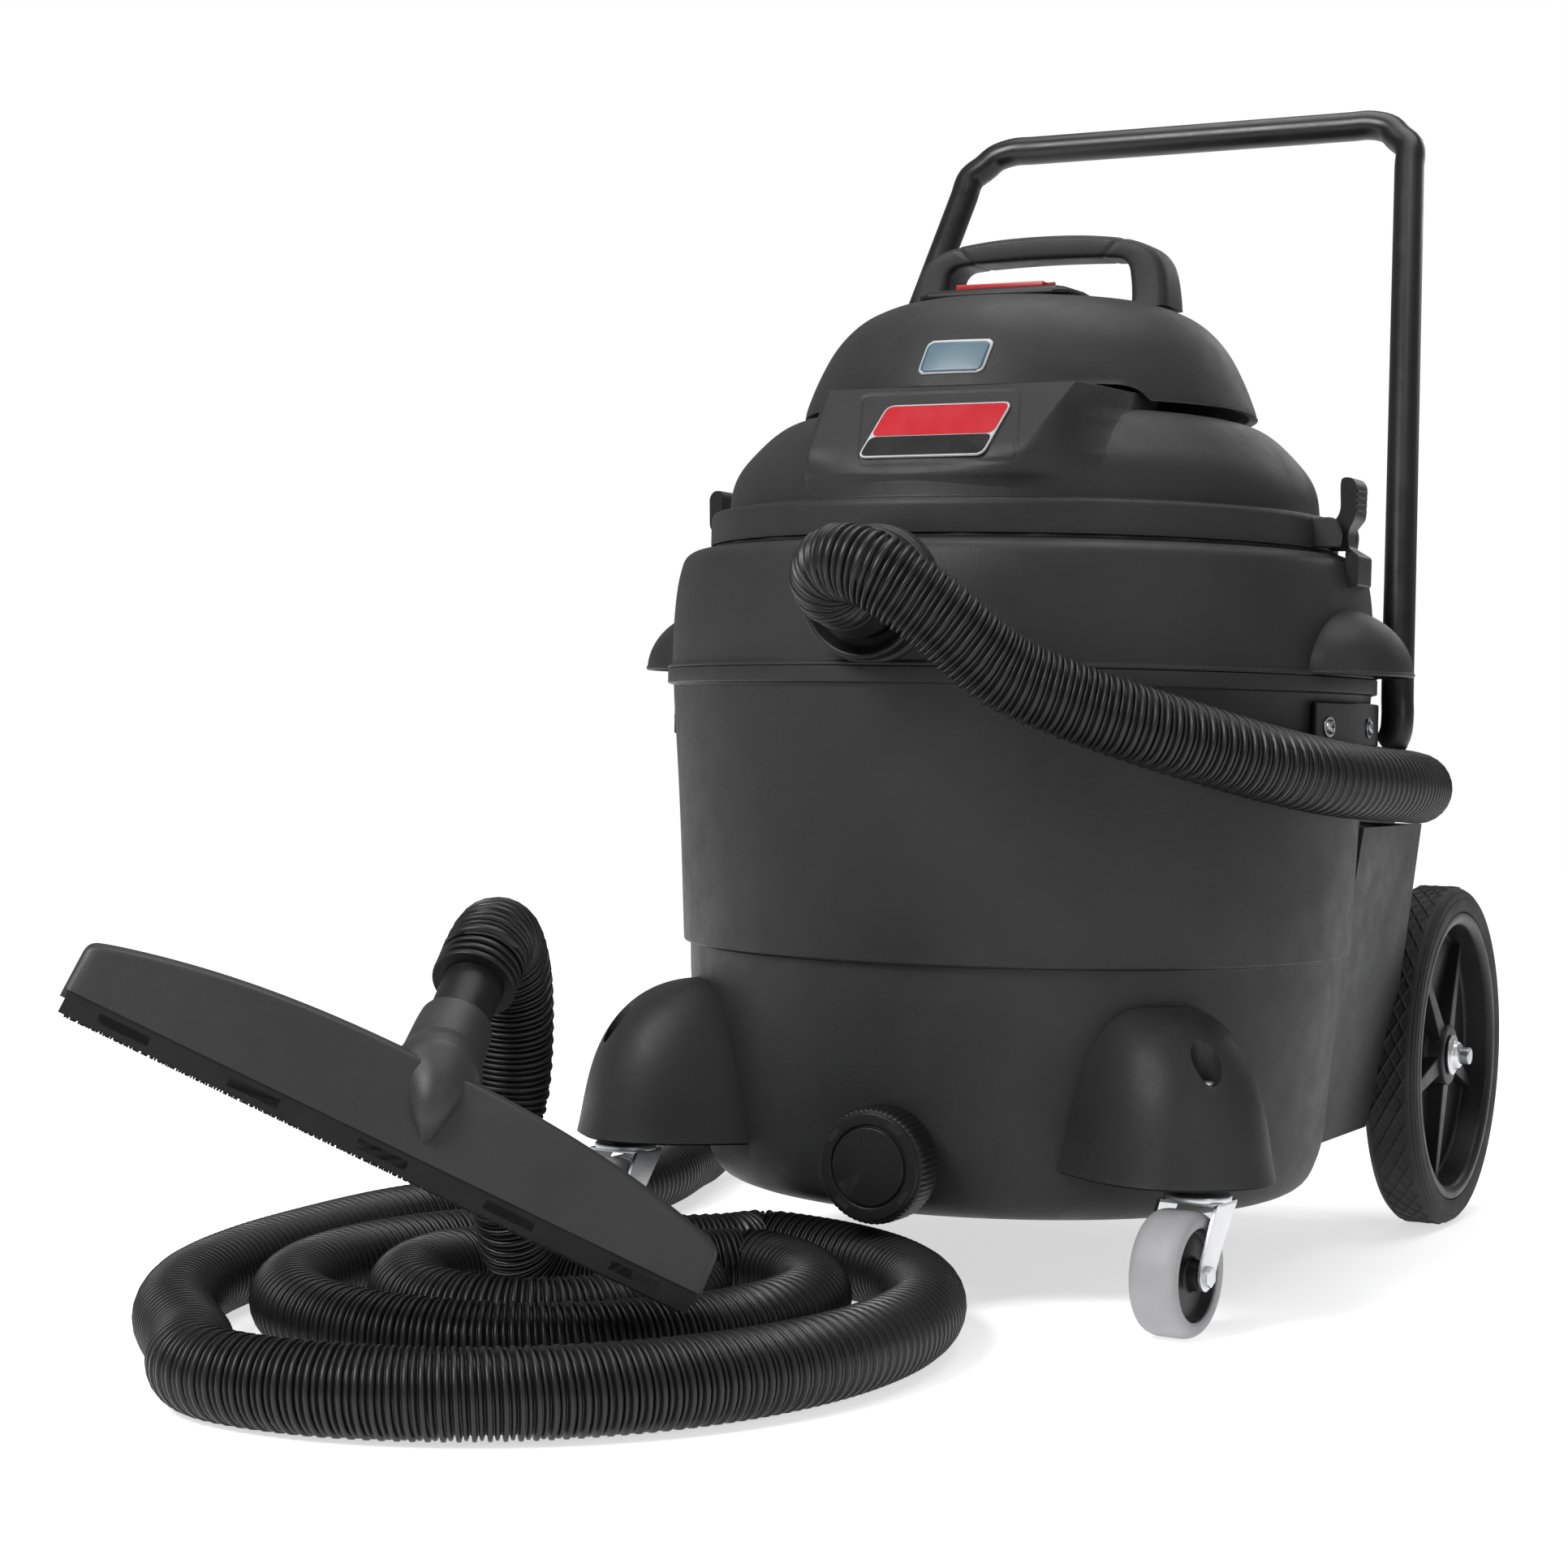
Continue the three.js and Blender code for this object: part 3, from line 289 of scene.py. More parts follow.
def turned(outline, steps=144, closed=True):
    """An outline of (radius, height) turned round the height axis."""
    count = len(outline)
    points = []
    for i in range(steps):
        c, s = math.cos(2 * math.pi * i / steps), math.sin(2 * math.pi * i / steps)
        points += [(r * c, r * s, z) for r, z in outline]
    faces = []
    for i in range(steps):
        a, b = i * count, ((i + 1) % steps) * count
        for k in range(count if closed else count - 1):
            m = (k + 1) % count
            faces.append((a + k, b + k, b + m, a + m))
    return points, faces


def grid(rows, close_rows=False, close_columns=False, caps=False):
    """Faces over rows of points, all rows the same length."""
    count = len(rows[0])
    points = [p for row in rows for p in row]
    faces = []
    for i in range(len(rows) if close_rows else len(rows) - 1):
        a, b = i * count, ((i + 1) % len(rows)) * count
        for k in range(count if close_columns else count - 1):
            m = (k + 1) % count
            faces.append((a + k, a + m, b + m, b + k))
    if caps:
        faces.append(tuple(reversed(range(count))))
        faces.append(tuple(range((len(rows) - 1) * count, len(rows) * count)))
    return points, faces


def prism(outline, bottom, top):
    """A flat outline raised between two heights."""
    return grid([[(x, y, bottom) for x, y, *_ in outline], [(x, y, top) for x, y, *_ in outline]],
                close_columns=True, caps=True)


def joined(*parts):
    """Several shapes as one."""
    points, faces = [], []
    for some, corners in parts:
        faces += [tuple(c + len(points) for c in face) for face in corners]
        points += list(some)
    return points, faces


def moved(shape, turn):
    points, faces = shape
    return [turn(*p) for p in points], faces


def build(name, shape, finish, body, nodes=(), turn=same, bevel=0.0, thick=0.0, smooth=38):
    """Makes a piece from a shape, gives it its finish and lets it ride on a body."""
    points, faces = shape
    mesh = bpy.data.meshes.new(name)
    mesh.from_pydata([tuple(at(*turn(*p))) for p in points], [], faces)
    work = bmesh.new()
    work.from_mesh(mesh)
    bmesh.ops.remove_doubles(work, verts=work.verts, dist=2e-6)
    bmesh.ops.recalc_face_normals(work, faces=work.faces)
    work.to_mesh(mesh)
    work.free()
    mesh.shade_smooth()
    obj = bpy.data.objects.new(name, mesh)
    bpy.context.scene.collection.objects.link(obj)
    soften(obj, bevel, smooth, thick=thick)
    return dress(obj, finish, body, nodes)


def soften(obj, bevel, smooth, thick=0.0, segments=3):
    """Rounds a piece's edges, or else keeps those above an angle sharp."""
    if thick:
        wall = obj.modifiers.new("wall", "SOLIDIFY")
        wall.thickness = thick * MM
        wall.offset = -1
    if bevel:
        edge = obj.modifiers.new("edge", "BEVEL")
        edge.width = bevel * MM
        edge.segments = segments
        edge.limit_method = "ANGLE"
        edge.angle_limit = math.radians(28)
        edge.harden_normals = True
    elif smooth:
        obj.data.set_sharp_from_angle(angle=math.radians(smooth))


def dress(obj, finish, body, nodes=()):
    """Gives a piece its finish, its body and the CAD nodes it stands for."""
    obj.data.materials.clear()
    obj.data.materials.append(FINISHES[finish])
    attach(obj, body)
    if nodes:
        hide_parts(*nodes)
    return obj


def carve(obj, cutter):
    """Cuts one piece's shape out of another for good."""
    tool = obj.modifiers.new("cut", "BOOLEAN")
    tool.object = cutter
    tool.operation = "DIFFERENCE"
    tool.solver = "EXACT"
    bpy.context.view_layer.update()
    obj.data = bpy.data.meshes.new_from_object(
        obj.evaluated_get(bpy.context.evaluated_depsgraph_get()))
    obj.modifiers.clear()
    bpy.data.objects.remove(cutter)


def softened(node, finish, body, width, segments=3):
    """A copy of a CAD node's shape with its flat faces merged and its edges rounded."""
    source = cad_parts[node]
    obj = bpy.data.objects.new(node + "_soft", source.data.copy())
    bpy.context.scene.collection.objects.link(obj)
    work = bmesh.new()
    work.from_mesh(obj.data)
    bmesh.ops.remove_doubles(work, verts=work.verts, dist=5e-6)
    bmesh.ops.dissolve_limit(work, angle_limit=math.radians(0.5), verts=work.verts,
                             edges=work.edges)
    work.to_mesh(obj.data)
    work.free()
    obj.data.shade_smooth()
    soften(obj, width, 0, segments=segments)
    return dress(obj, finish, body, [node])


# ---- Lines and tubes ----------------------------------------------------------------------
def smooth_line(points, spacing):
    """Points at an even spacing on a centripetal curve through the given ones."""
    p = np.array(points, float)
    p = np.vstack([2 * p[0] - p[1], p, 2 * p[-1] - p[-2]])
    dense = []
    for i in range(1, len(p) - 2):
        a, b, c, d = p[i - 1:i + 3]
        t0 = 0.0
        t1 = t0 + np.linalg.norm(b - a) ** 0.5
        t2 = t1 + np.linalg.norm(c - b) ** 0.5
        t3 = t2 + np.linalg.norm(d - c) ** 0.5
        for t in np.linspace(t1, t2, 24, endpoint=False):
            ab = a * (t1 - t) / (t1 - t0) + b * (t - t0) / (t1 - t0)
            bc = b * (t2 - t) / (t2 - t1) + c * (t - t1) / (t2 - t1)
            cd = c * (t3 - t) / (t3 - t2) + d * (t - t2) / (t3 - t2)
            abc = ab * (t2 - t) / (t2 - t0) + bc * (t - t0) / (t2 - t0)
            bcd = bc * (t3 - t) / (t3 - t1) + cd * (t - t1) / (t3 - t1)
            dense.append(abc * (t2 - t) / (t2 - t1) + bcd * (t - t1) / (t2 - t1))
    dense.append(p[-2])
    dense = np.array(dense)
    along = np.concatenate([[0], np.cumsum(np.linalg.norm(np.diff(dense, axis=0), axis=1))])
    count = max(int(along[-1] / spacing), 2)
    even = np.linspace(0, along[-1], count + 1)
    return np.stack([np.interp(even, along, dense[:, k]) for k in range(3)], 1), even


def frames_along(line):
    """A direction and two side vectors at each point, with no twist."""
    ahead = np.gradient(line, axis=0)
    ahead /= np.linalg.norm(ahead, axis=1)[:, None]
    side = np.cross(ahead[0], (0.1, 0.2, 1.0))
    side /= np.linalg.norm(side)
    result = []
    for t in ahead:
        side = side - t * np.dot(side, t)
        side /= np.linalg.norm(side)
        result.append((t, side, np.cross(t, side)))
    return result


def tube(line, sides, radius_at, caps=True):
    """A tube round a line. radius_at(index, share of a turn) gives its radius."""
    rows = []
    for i, (point, (_, u, v)) in enumerate(zip(line, frames_along(line))):
        row = []
        for k in range(sides):
            share = k / sides
            r = radius_at(i, share)
            row.append(tuple(point + u * (r * math.cos(2 * math.pi * share))
                             + v * (r * math.sin(2 * math.pi * share))))
        rows.append(row)
    return grid(rows, close_columns=True, caps=caps)


# ---- Hose ---------------------------------------------------------------------------------
HOSE_RADIUS = 24.0
HOSE_FLOOR = 24.3
RIB_PITCH = 7.6
CASTER = (201.3, -183.5)
COIL_START, COIL_END = 0.25, 2.75
RUN_ROUTE = [
    (0, -280.3, 447), (0, -288, 447.5), (1, -303, 454), (14, -317, 462), (40, -322, 457),
    (72, -309, 434), (107, -284, 400), (140, -262, 383), (175, -236, 369), (205, -200, 357),
    (233, -157, 346), (254, -101, 338), (265, -35, 334), (266, 25, 332), (257, 85, 330),
    (233, 148, 329), (182, 216, 329), (102, 266, 329), (0, 288, 330), (-100, 270, 329),
    (-180, 248, 330), (-240, 238, 320), (-284, 232, 280), (-307, 234, 225), (-326, 244, 155),
    (-343, 254, 92), (-352, 238, 42), (-346, 195, 25.5), (-328, 130, HOSE_FLOOR),
    (-306, 50, HOSE_FLOOR), (-299, -30, HOSE_FLOOR), (-308, -105, HOSE_FLOOR),
    (-333, -175, HOSE_FLOOR), (-347, -250, HOSE_FLOOR), (-345, -340, HOSE_FLOOR),
    (-334, -425, HOSE_FLOOR), (-309, -507, HOSE_FLOOR), (-267, -577, HOSE_FLOOR),
    (-207, -640, HOSE_FLOOR),
]
# The nozzle's own axes, and where its neck stands.
NOZZLE_FROM = Vector((-221, -740, 210))
NOZZLE_TO = Vector((51, -551, 50))
NOZZLE_LENGTH = (NOZZLE_TO - NOZZLE_FROM).length
NOZZLE_X = (NOZZLE_TO - NOZZLE_FROM).normalized()
NOZZLE_Y = Vector((0.3621, 0.2584, 0.8965)).cross(NOZZLE_X).normalized()
NOZZLE_Z = NOZZLE_X.cross(NOZZLE_Y)
BRUSH_DROP = 9
NECK_LEAN = math.radians(47)
NECK_START = (NOZZLE_LENGTH / 2 + 9, 16, 18)
CUFF_TOP = 126


def in_nozzle(x, y, z):
    """From the nozzle's own axes to the tank's."""
    return tuple(NOZZLE_FROM + NOZZLE_X * x + NOZZLE_Y * y + NOZZLE_Z * (z + BRUSH_DROP))


def on_neck(x, y, z):
    """From the neck's axes, z along it, to the tank's."""
    c, s = math.cos(NECK_LEAN), math.sin(NECK_LEAN)
    return in_nozzle(NECK_START[0] + x, NECK_START[1] + y * c + z * s,
                     NECK_START[2] - y * s + z * c)


def clear_of_caster(x, y, turns):
    """Each turn keeps clear of the room that the left caster swings through."""
    room = 99 + 50 * max(turns - 0.8, 0)
    dx, dy = x + CASTER[0], y - CASTER[1]
    distance = math.hypot(dx, dy)
    share = (distance ** 8 + room ** 8) ** (1 / 8) / distance
    return -CASTER[0] + dx * share, CASTER[1] + dy * share


def coil_point(turns):
    """A place on the coil, whose left, right, front and back edges move as it winds inwards."""
    left, right = -336 + 58 * turns, 143 - 77 * turns
    front, back = -739 + 176 * turns - 28.5 * turns * turns, -145 - 60 * turns
    angle = turns * 2 * math.pi
    x = (left + right) / 2 - (right - left) / 2 * math.cos(angle)
    y = (front + back) / 2 - (back - front) / 2 * math.sin(angle)
    return clear_of_caster(x, y, turns)


start_x, start_y = coil_point(COIL_START)
end_x, end_y = coil_point(COIL_END)
COIL_POINTS = 60
coil = [(*coil_point(COIL_START + (COIL_END - COIL_START) * i / COIL_POINTS), HOSE_FLOOR)
        for i in range(COIL_POINTS + 1)]
RISER_ROUTE = [
    (end_x - 9, end_y - 2, HOSE_FLOOR), (end_x - 34, end_y - 26, 27.3),
    (end_x - 49, end_y - 46, 44.3), (end_x - 45, end_y - 70, 76.3), (-141, -440, 112),
    (-133, -440, 150), (-127, -447, 188), (-121, -460, 217), (-114, -480, 236),
    (-106, -501, 240), on_neck(0, 0, CUFF_TOP + 8), on_neck(0, 0, CUFF_TOP + 0.3),
]
hose_line, hose_along = smooth_line(
    [*RUN_ROUTE, (start_x - 62, start_y + 7, HOSE_FLOOR), *coil, *RISER_ROUTE], 0.9)
# One pitch of the hose's wall: share of the pitch and how far under the crest it lies.
RIB_PROFILE = [(0.0, 3.6), (0.07, 3.4), (0.13, 0.5), (0.19, 0.0), (0.36, 0.0), (0.42, 0.5),
               (0.48, 3.2), (0.57, 3.2), (0.63, 1.2), (0.69, 0.7), (0.8, 0.7), (0.86, 1.2),
               (0.93, 3.4)]
HOSE_SIDES = 26


def ribbed_tube(line, along):
    """The hose's ribs as one long helix: each row of points climbs one pitch in a turn."""
    _, across, upward = (np.array(vectors) for vectors in zip(*frames_along(line)))
    pitches = int(along[-1] / RIB_PITCH) + 1
    starts = [(n - 1 + share) * RIB_PITCH for n in range(pitches + 1) for share, _ in RIB_PROFILE]
    radii = np.array([HOSE_RADIUS - low for n in range(pitches + 1) for _, low in RIB_PROFILE])
    shares = np.arange(HOSE_SIDES) / HOSE_SIDES
    where = np.clip(np.array(starts)[:, None] + shares[None] * RIB_PITCH, 0, along[-1])

    def sampled(values):
        return np.stack([np.interp(where, along, values[:, k]) for k in range(3)], -1)
    angles = 2 * math.pi * shares
    side = sampled(across) * np.cos(angles)[None, :, None]
    side = side + sampled(upward) * np.sin(angles)[None, :, None]
    spots = sampled(line) + side * radii[:, None, None]
    rows, per_pitch = len(starts), len(RIB_PROFILE)
    faces = []
    for i in range(rows - 1):
        a, b = i * HOSE_SIDES, (i + 1) * HOSE_SIDES
        for k in range(HOSE_SIDES - 1):
            faces.append((a + k, a + k + 1, b + k + 1, b + k))
        if i + 1 + per_pitch < rows:
            wrap = per_pitch * HOSE_SIDES
            faces.append((a + HOSE_SIDES - 1, a + wrap, b + wrap, b + HOSE_SIDES - 1))
    return spots.reshape(-1, 3).tolist(), faces


hose = build("hose", ribbed_tube(hose_line, hose_along), "hose_vinyl", "root",
             ["hose_run", "hose_coil", "hose_riser"], smooth=75)

# The machine end: a smooth cuff with a shoulder, pushed into the port.
port_cuff = rounded([(19, 222), (26, 222), (26, 250, 4), (28, 259, 4), (29, 263, 2), (26, 272, 4),
                     (24.6, 280, 1), (19, 280)])
PORT_Z = 447
port_turn = shifted(towards_front, 0, 0, PORT_Z)
cuff = build("hose_cuff", turned(port_cuff, 72), "black_plastic", "root", ["hose_cuff_port"],
             turn=port_turn)

# ---- Floor nozzle -------------------------------------------------------------------------
NOZZLE_DEPTH = 56


def nozzle_row(x, inset=0.0):
    """The nozzle's section at a place along it: a soft wedge that is highest in the middle."""
    share = (x / NOZZLE_LENGTH) * 2 - 1
    height = 53 - 22 * abs(share) ** 2.4 - inset
    back = NOZZLE_DEPTH - inset
    corners = [(inset, 5, 0), (3.4, 5, 0), (4.4, 0, 0), (back, 0, 0), (back, 12, 5),
               (back - 18, height * 0.75, 14), (24, height, 10), (7 + inset, height - 1.5, 3)]
    return [(x, y, z) for y, z in rounded(corners, closed=True, steps=4)]


nozzle_places = [0, 0.6, 2, 4, 8, 14] + [14 + (NOZZLE_LENGTH - 28) * k / 46 for k in range(1, 46)]
nozzle_places += [NOZZLE_LENGTH - q for q in (14, 8, 4, 2, 0.6, 0)]
nozzle_insets = [4, 2.4, 1.1, 0.4, 0.1] + [0] * (len(nozzle_places) - 10) + [0.1, 0.4, 1.1, 2.4, 4]
nozzle_skin = grid([nozzle_row(x, i) for x, i in zip(nozzle_places, nozzle_insets)],
                   close_columns=True, caps=True)
build("nozzle_shell", nozzle_skin, "nozzle_grey", "root", ["nozzle_body"], turn=in_nozzle,
      smooth=50)
sleeve = rounded([(14.9, 10), (22, 10), (22.4, 40, 10), (21.2, 70, 6), (20.4, 77.5, 1),
                  (18.4, 80, 0.6), (17.2, 79, 0.5), (17.2, 30)])
nozzle_sleeve = build("nozzle_sleeve", turned(sleeve, 72), "nozzle_grey", "root",
                      turn=on_neck)
# The sleeve runs out into the nozzle's face as a drop-shaped boss: points and radii.
DROP = [(0, 48.8, 48.7, 22.3), (0, 34, 46, 23.2), (0.5, 21, 41.5, 24.5), (2, 10.5, 36.5, 24),
        (3.5, 5, 31, 20), (5, 2.8, 25.5, 15), (6.5, 2.6, 20, 10.5), (7.2, 2.8, 15.5, 6),
        (7.6, 3, 12, 1.5)]
drop_line, drop_along = smooth_line([(NECK_START[0] + x, y, z) for x, y, z, _ in DROP], 1.5)
drop_marks = np.linspace(0, drop_along[-1], len(DROP))
drop_radii = np.interp(drop_along, drop_marks, [r for *_, r in DROP])
build("nozzle_boss", tube(drop_line, 64, lambda i, share: drop_radii[i]), "nozzle_grey", "root",
      turn=in_nozzle, smooth=60)
neck = rounded([(14.8, 34), (17, 34), (17, 120, 1), (17, 124, 1), (14.8, 124)])
nozzle_neck = build("nozzle_tube", turned(neck, 64), "black_plastic", "root", ["nozzle_neck"],
                    turn=on_neck)
tool_cuff = rounded([(17.3, 110), (23.6, 110, 0.6), (24, 113, 0.8), (21, 113.8, 0.4),
                     (21, 115.4, 0.4), (23.8, 116.2, 0.5), (23.8, 118.6, 0.5), (21, 119.4, 0.4),
                     (21, 121, 0.4), (23.8, 121.8, 0.5), (23.8, 124.2, 0.5), (21, 126),
                     (17.3, 126)])
tool_end = build("hose_end_ring", turned(tool_cuff, 64), "hose_vinyl", "root",
                 ["hose_cuff_tool"], turn=on_neck)

# Each brush is a row of bristle tufts in a holder.
BRUSH_EDGES = [3.6, NOZZLE_DEPTH - 10.6]
TUFTS = 230


def tuft(x, y, lean_x, lean_y):
    """One tuft of bristles, which narrows and leans a little."""
    top = [(x + dx, y + dy, 1) for dx, dy in ((-0.9, -1.5), (0.9, -1.5), (0.9, 1.5), (-0.9, 1.5))]
    low = [(px * 0.3 + (x + lean_x) * 0.7 + (px - x) * 0.25, py + lean_y + (py - y) * 0.15,
            -BRUSH_DROP + 0.1) for px, py, _ in top]
    return grid([top, low], close_columns=True, caps=True)


for edge, end in zip(BRUSH_EDGES, ("front", "rear")):
    tufts = []
    for k in range(TUFTS):
        for row in (1.8, 5.2):
            x = 6 + (NOZZLE_LENGTH - 12) * (k + 0.5) / TUFTS
            tufts.append(tuft(x, edge + row, random.uniform(-0.8, 0.8), random.uniform(-0.3, 0.3)))
    near = 1.2 if end == "front" else edge + 0.5
    holder = prism([(3, near), (NOZZLE_LENGTH - 3, near), (NOZZLE_LENGTH - 3, edge + 6.5),
                    (3, edge + 6.5)], -7.4, 4.8)
    build("nozzle_bristles_" + end, joined(holder, *tufts), "bristle", "root",
          ["nozzle_brush_" + end], turn=in_nozzle, smooth=30)
CLIPS = 5
clips = []
for k in range(CLIPS):
    x = NOZZLE_LENGTH * (k + 0.5) / CLIPS
    clips.append(prism([(x - 15, 1.2), (x + 15, 1.2), (x + 15, 4), (x - 15, 4)], -4.5, 2))
build("nozzle_clips", joined(*clips), "black_plastic", "root", turn=in_nozzle, bevel=0.7)

# ---- Drum, ring and port ------------------------------------------------------------------
drum = rounded([
    (0, 53), (184, 53, 12), (203, 61, 10), (213, 86, 14), (223.5, 193, 6), (224.2, 215.7, 0.8),
    (228.8, 216.7, 1.6), (233, 308, 40), (238.5, 381, 30), (239, 391.5, 0.8), (243, 392.5, 0.9),
    (243, 402.6, 1), (239.5, 402.6, 0.5), (239.5, 396), (235, 390, 3), (234, 380, 20),
    (229, 308, 30), (224.5, 222), (220, 214), (219, 193), (209, 88, 10), (199, 65, 10),
    (183, 57), (0, 57)])
build("drum_shell", turned(drum, 192), "charcoal_plastic", "root", ["tank_drum"])
DRAIN_X, DRAIN_Z = 10, 92
drain_turn = shifted(towards_front, DRAIN_X, 0, DRAIN_Z)
spout = rounded([(24, 200), (29, 200), (29, 237, 1), (24, 237, 1)])
build("drain_spout", turned(spout, 64), "charcoal_plastic", "root", turn=drain_turn)
ring = rounded([
    (243, 402.9, 0.8), (243, 405, 1), (240, 406, 0.8), (240, 430, 20), (237.7, 460, 14),
    (233, 478, 5), (226, 483, 4), (214, 484.4, 2), (206, 484.4), (206, 481), (222, 479, 4),
    (229, 474, 5), (234, 458), (236.5, 430), (236.5, 402.9)], closed=True)
build("ring_shell", turned(ring, 192), "charcoal_plastic", "root", ["tank_ring"])
boss = rounded([(30, 232), (44.5, 232), (44.3, 240, 1), (43.4, 242.4, 1), (41, 243.1, 1),
                (30, 243.2)])
build("port_boss", turned(boss, 96), "charcoal_plastic", "root",
      turn=shifted(towards_front, 0, 0, PORT_Z - 0.2))
port = rounded([(27, 206), (34.5, 206), (34.5, 243.3), (41.5, 243.3, 1), (41.5, 256, 2.2),
                (38, 256, 1.5), (33, 249, 2), (27, 248, 1)], closed=True)
build("port_flange", turned(port, 96), "black_plastic", "root", ["inlet_port"],
      turn=port_turn)

# ---- Drain cap ----------------------------------------------------------------------------
CAP_STEPS = 480
KNURLS = 30
CAP_SIDE = 33.8
cap_rows = []
for radius, height in rounded([(35.2, 224, 0), (36.4, 225, 1), (36.4, 245, 2), (35, 248, 1),
                               (33.4, 248.2, 0.5), (33, 250, 0.8), (26, 250, 0.6),
                               (25.4, 248.6, 0.3), (24.6, 248.6, 0.3), (24, 250.9, 0.6),
                               (0.01, 250.9)]):
    row = []
    for k in range(CAP_STEPS):
        angle = 2 * math.pi * k / CAP_STEPS
        knurl = 0.9 * (abs(math.cos(KNURLS * angle + height * 0.05)) ** 0.8 - 0.7)
        r = radius + (knurl if radius > CAP_SIDE else 0)
        row.append((r * math.cos(angle), r * math.sin(angle), height))
    cap_rows.append(row)
build("drain_cap_turned", grid(cap_rows, close_columns=True), "black_plastic", "drain",
      ["drain_cap"], turn=drain_turn, smooth=45)
# Four near-black blocks on the cap's top: painted shade standing in for the shade in its notches.
notch_shade_block = prism([(28, -5), (31.6, -5), (31.6, 5), (28, 5)], 248, 250.3)
notch_shades = [moved(notch_shade_block, turned_by(math.pi * (k / 2 + 0.3))) for k in range(4)]
build("drain_cap_notch_shades", joined(*notch_shades), "painted_recess_shade", "drain", turn=drain_turn, bevel=0.3)

# ---- Lifting grips ------------------------------------------------------------------------
GRIP_X, GRIP_Y, GRIP_BASE = 226, -14, 403.2
GRIP_ACROSS, GRIP_ALONG, GRIP_UP = 52.8, 58, 45
GRIP_SPAN = math.pi * 0.62
LIP_SPAN = math.pi * 0.6
grip_rows = []
for k in range(21):
    rise = k / 20 * math.pi / 2
    row = []
    for q in range(41):
        angle = -GRIP_SPAN + 2 * GRIP_SPAN * q / 40
        row.append((GRIP_X + GRIP_ACROSS * math.cos(rise) * math.cos(angle),
                    GRIP_Y + GRIP_ALONG * math.cos(rise) * math.sin(angle),
                    GRIP_BASE + GRIP_UP * math.sin(rise)))
    grip_rows.append(row)
lip_line = [(GRIP_X + (GRIP_ACROSS - 1) * math.cos(a), GRIP_Y + (GRIP_ALONG - 1) * math.sin(a),
             GRIP_BASE + 1.4) for a in (-LIP_SPAN + 2 * LIP_SPAN * q / 40 for q in range(41))]
for name, side in SIDES:
    build("grip_" + name, grid(grip_rows), "charcoal_plastic", "root", ["lift_grip_" + name],
          turn=side, thick=3.2, smooth=60)
    build("grip_lip_" + name, tube(np.array(lip_line), 10, lambda i, share: 1.7),
          "charcoal_plastic", "root", turn=side, smooth=60)

# ---- Push handle and brackets -------------------------------------------------------------
HANDLE_TOP = np.array((176.7, 317.2, 829.4))
HANDLE_FOOT = np.array((239.1, 97, 391.4))
BEND = 62
leg = HANDLE_TOP - HANDLE_FOOT
leg_length = np.linalg.norm(leg)
right_leg = [(232.5, 90.3, 357), (236.5, 91.8, 360.5), (239.6, 93, 368), (240.4, 93.6, 380),
             HANDLE_FOOT, *[HANDLE_FOOT + leg * share for share in (0.2, 0.4, 0.6)],
             *[HANDLE_TOP - leg * (reach / leg_length) for reach in (110, 80, BEND, 42, 24)],
             HANDLE_TOP + (-7, -5.6, -12), HANDLE_TOP + (-15, -2, -4.4),
             *[HANDLE_TOP + (-reach, 0, 0) for reach in (30, 46, BEND, 90)],
             (40, *HANDLE_TOP[1:])]
left_leg = [(-p[0], p[1], p[2]) for p in reversed(right_leg)]
handle_line, _ = smooth_line([tuple(p) for p in [*right_leg, *left_leg]], 4)
build("handle_tube", tube(handle_line, 32, lambda i, share: 11.0), "painted_steel", "root",
      ["push_handle"], smooth=50)


def arc_plate(inner, outer, start, end, bottom, top, steps=28):
    """A plate that follows the drum's side between two angles from +X."""
    angles = [math.radians(start + (end - start) * k / steps) for k in range(steps + 1)]
    outline = [(outer * math.cos(a), outer * math.sin(a)) for a in angles]
    outline += [(inner * math.cos(a), inner * math.sin(a)) for a in reversed(angles)]
    return prism(outline, bottom, top)


def side_screw(radius, angle, height, scale):
    """A pan head with a washer on the drum's side; the second shape is a near-black cross on the
    head, painted shade for its cross slot.
    """
    head = turned(rounded([(0, 0), (9.4, 0), (9.4, 1.2, 0.4), (6.8, 1.2), (6.6, 2.6, 1),
                           (4.4, 4, 1.2), (0, 4.3)]), 40, closed=False)
    cross = joined(prism([(-3, -0.55), (3, -0.55), (3, 0.55), (-3, 0.55)], 3.6, 4.42),
                   prism([(-0.55, -3), (0.55, -3), (0.55, 3), (-0.55, 3)], 3.6, 4.42))
    a = math.radians(angle)

    def lay(x, y, z):
        out, across, up = radius + z * scale, y * scale, x * scale
        return (out * math.cos(a) - across * math.sin(a), out * math.sin(a) + across * math.cos(a),
                height + up)
    return moved(head, lay), moved(cross, lay)


for name, side in SIDES:
    build("bracket_" + name, arc_plate(240.8, 244.2, -16.5, 24, 358, 386), "painted_steel", "root",
          ["handle_bracket_" + name], turn=side, bevel=1.0)
    for order, angle in enumerate((-13, 3)):
        head, cross = side_screw(244.3, angle, 370, 0.72)
        replaced = ["bracket_screw_" + name] if order == 0 else []
        build(f"bracket_screw_{name}_{order}", head, "steel", "root", replaced, turn=side,
              smooth=30)
        # The near-black cross is painted shade: it stands in for the shade in the screw's cross
        # slot.
        build(f"bracket_cross_shade_{name}_{order}", cross, "painted_recess_shade", "root", turn=side, smooth=20)

# ---- Axle frame and rear wheels -----------------------------------------------------------
softened("axle_frame", "charcoal_plastic", "root", 5, 4)
AXLE_Y, AXLE_Z = 318, 127
axle_turn = shifted(towards_right, 0, AXLE_Y, AXLE_Z)
TYRE_IN, TYRE_OUT = 190.3, 230.3
TREAD_STEPS = 720
DIAMONDS = 46


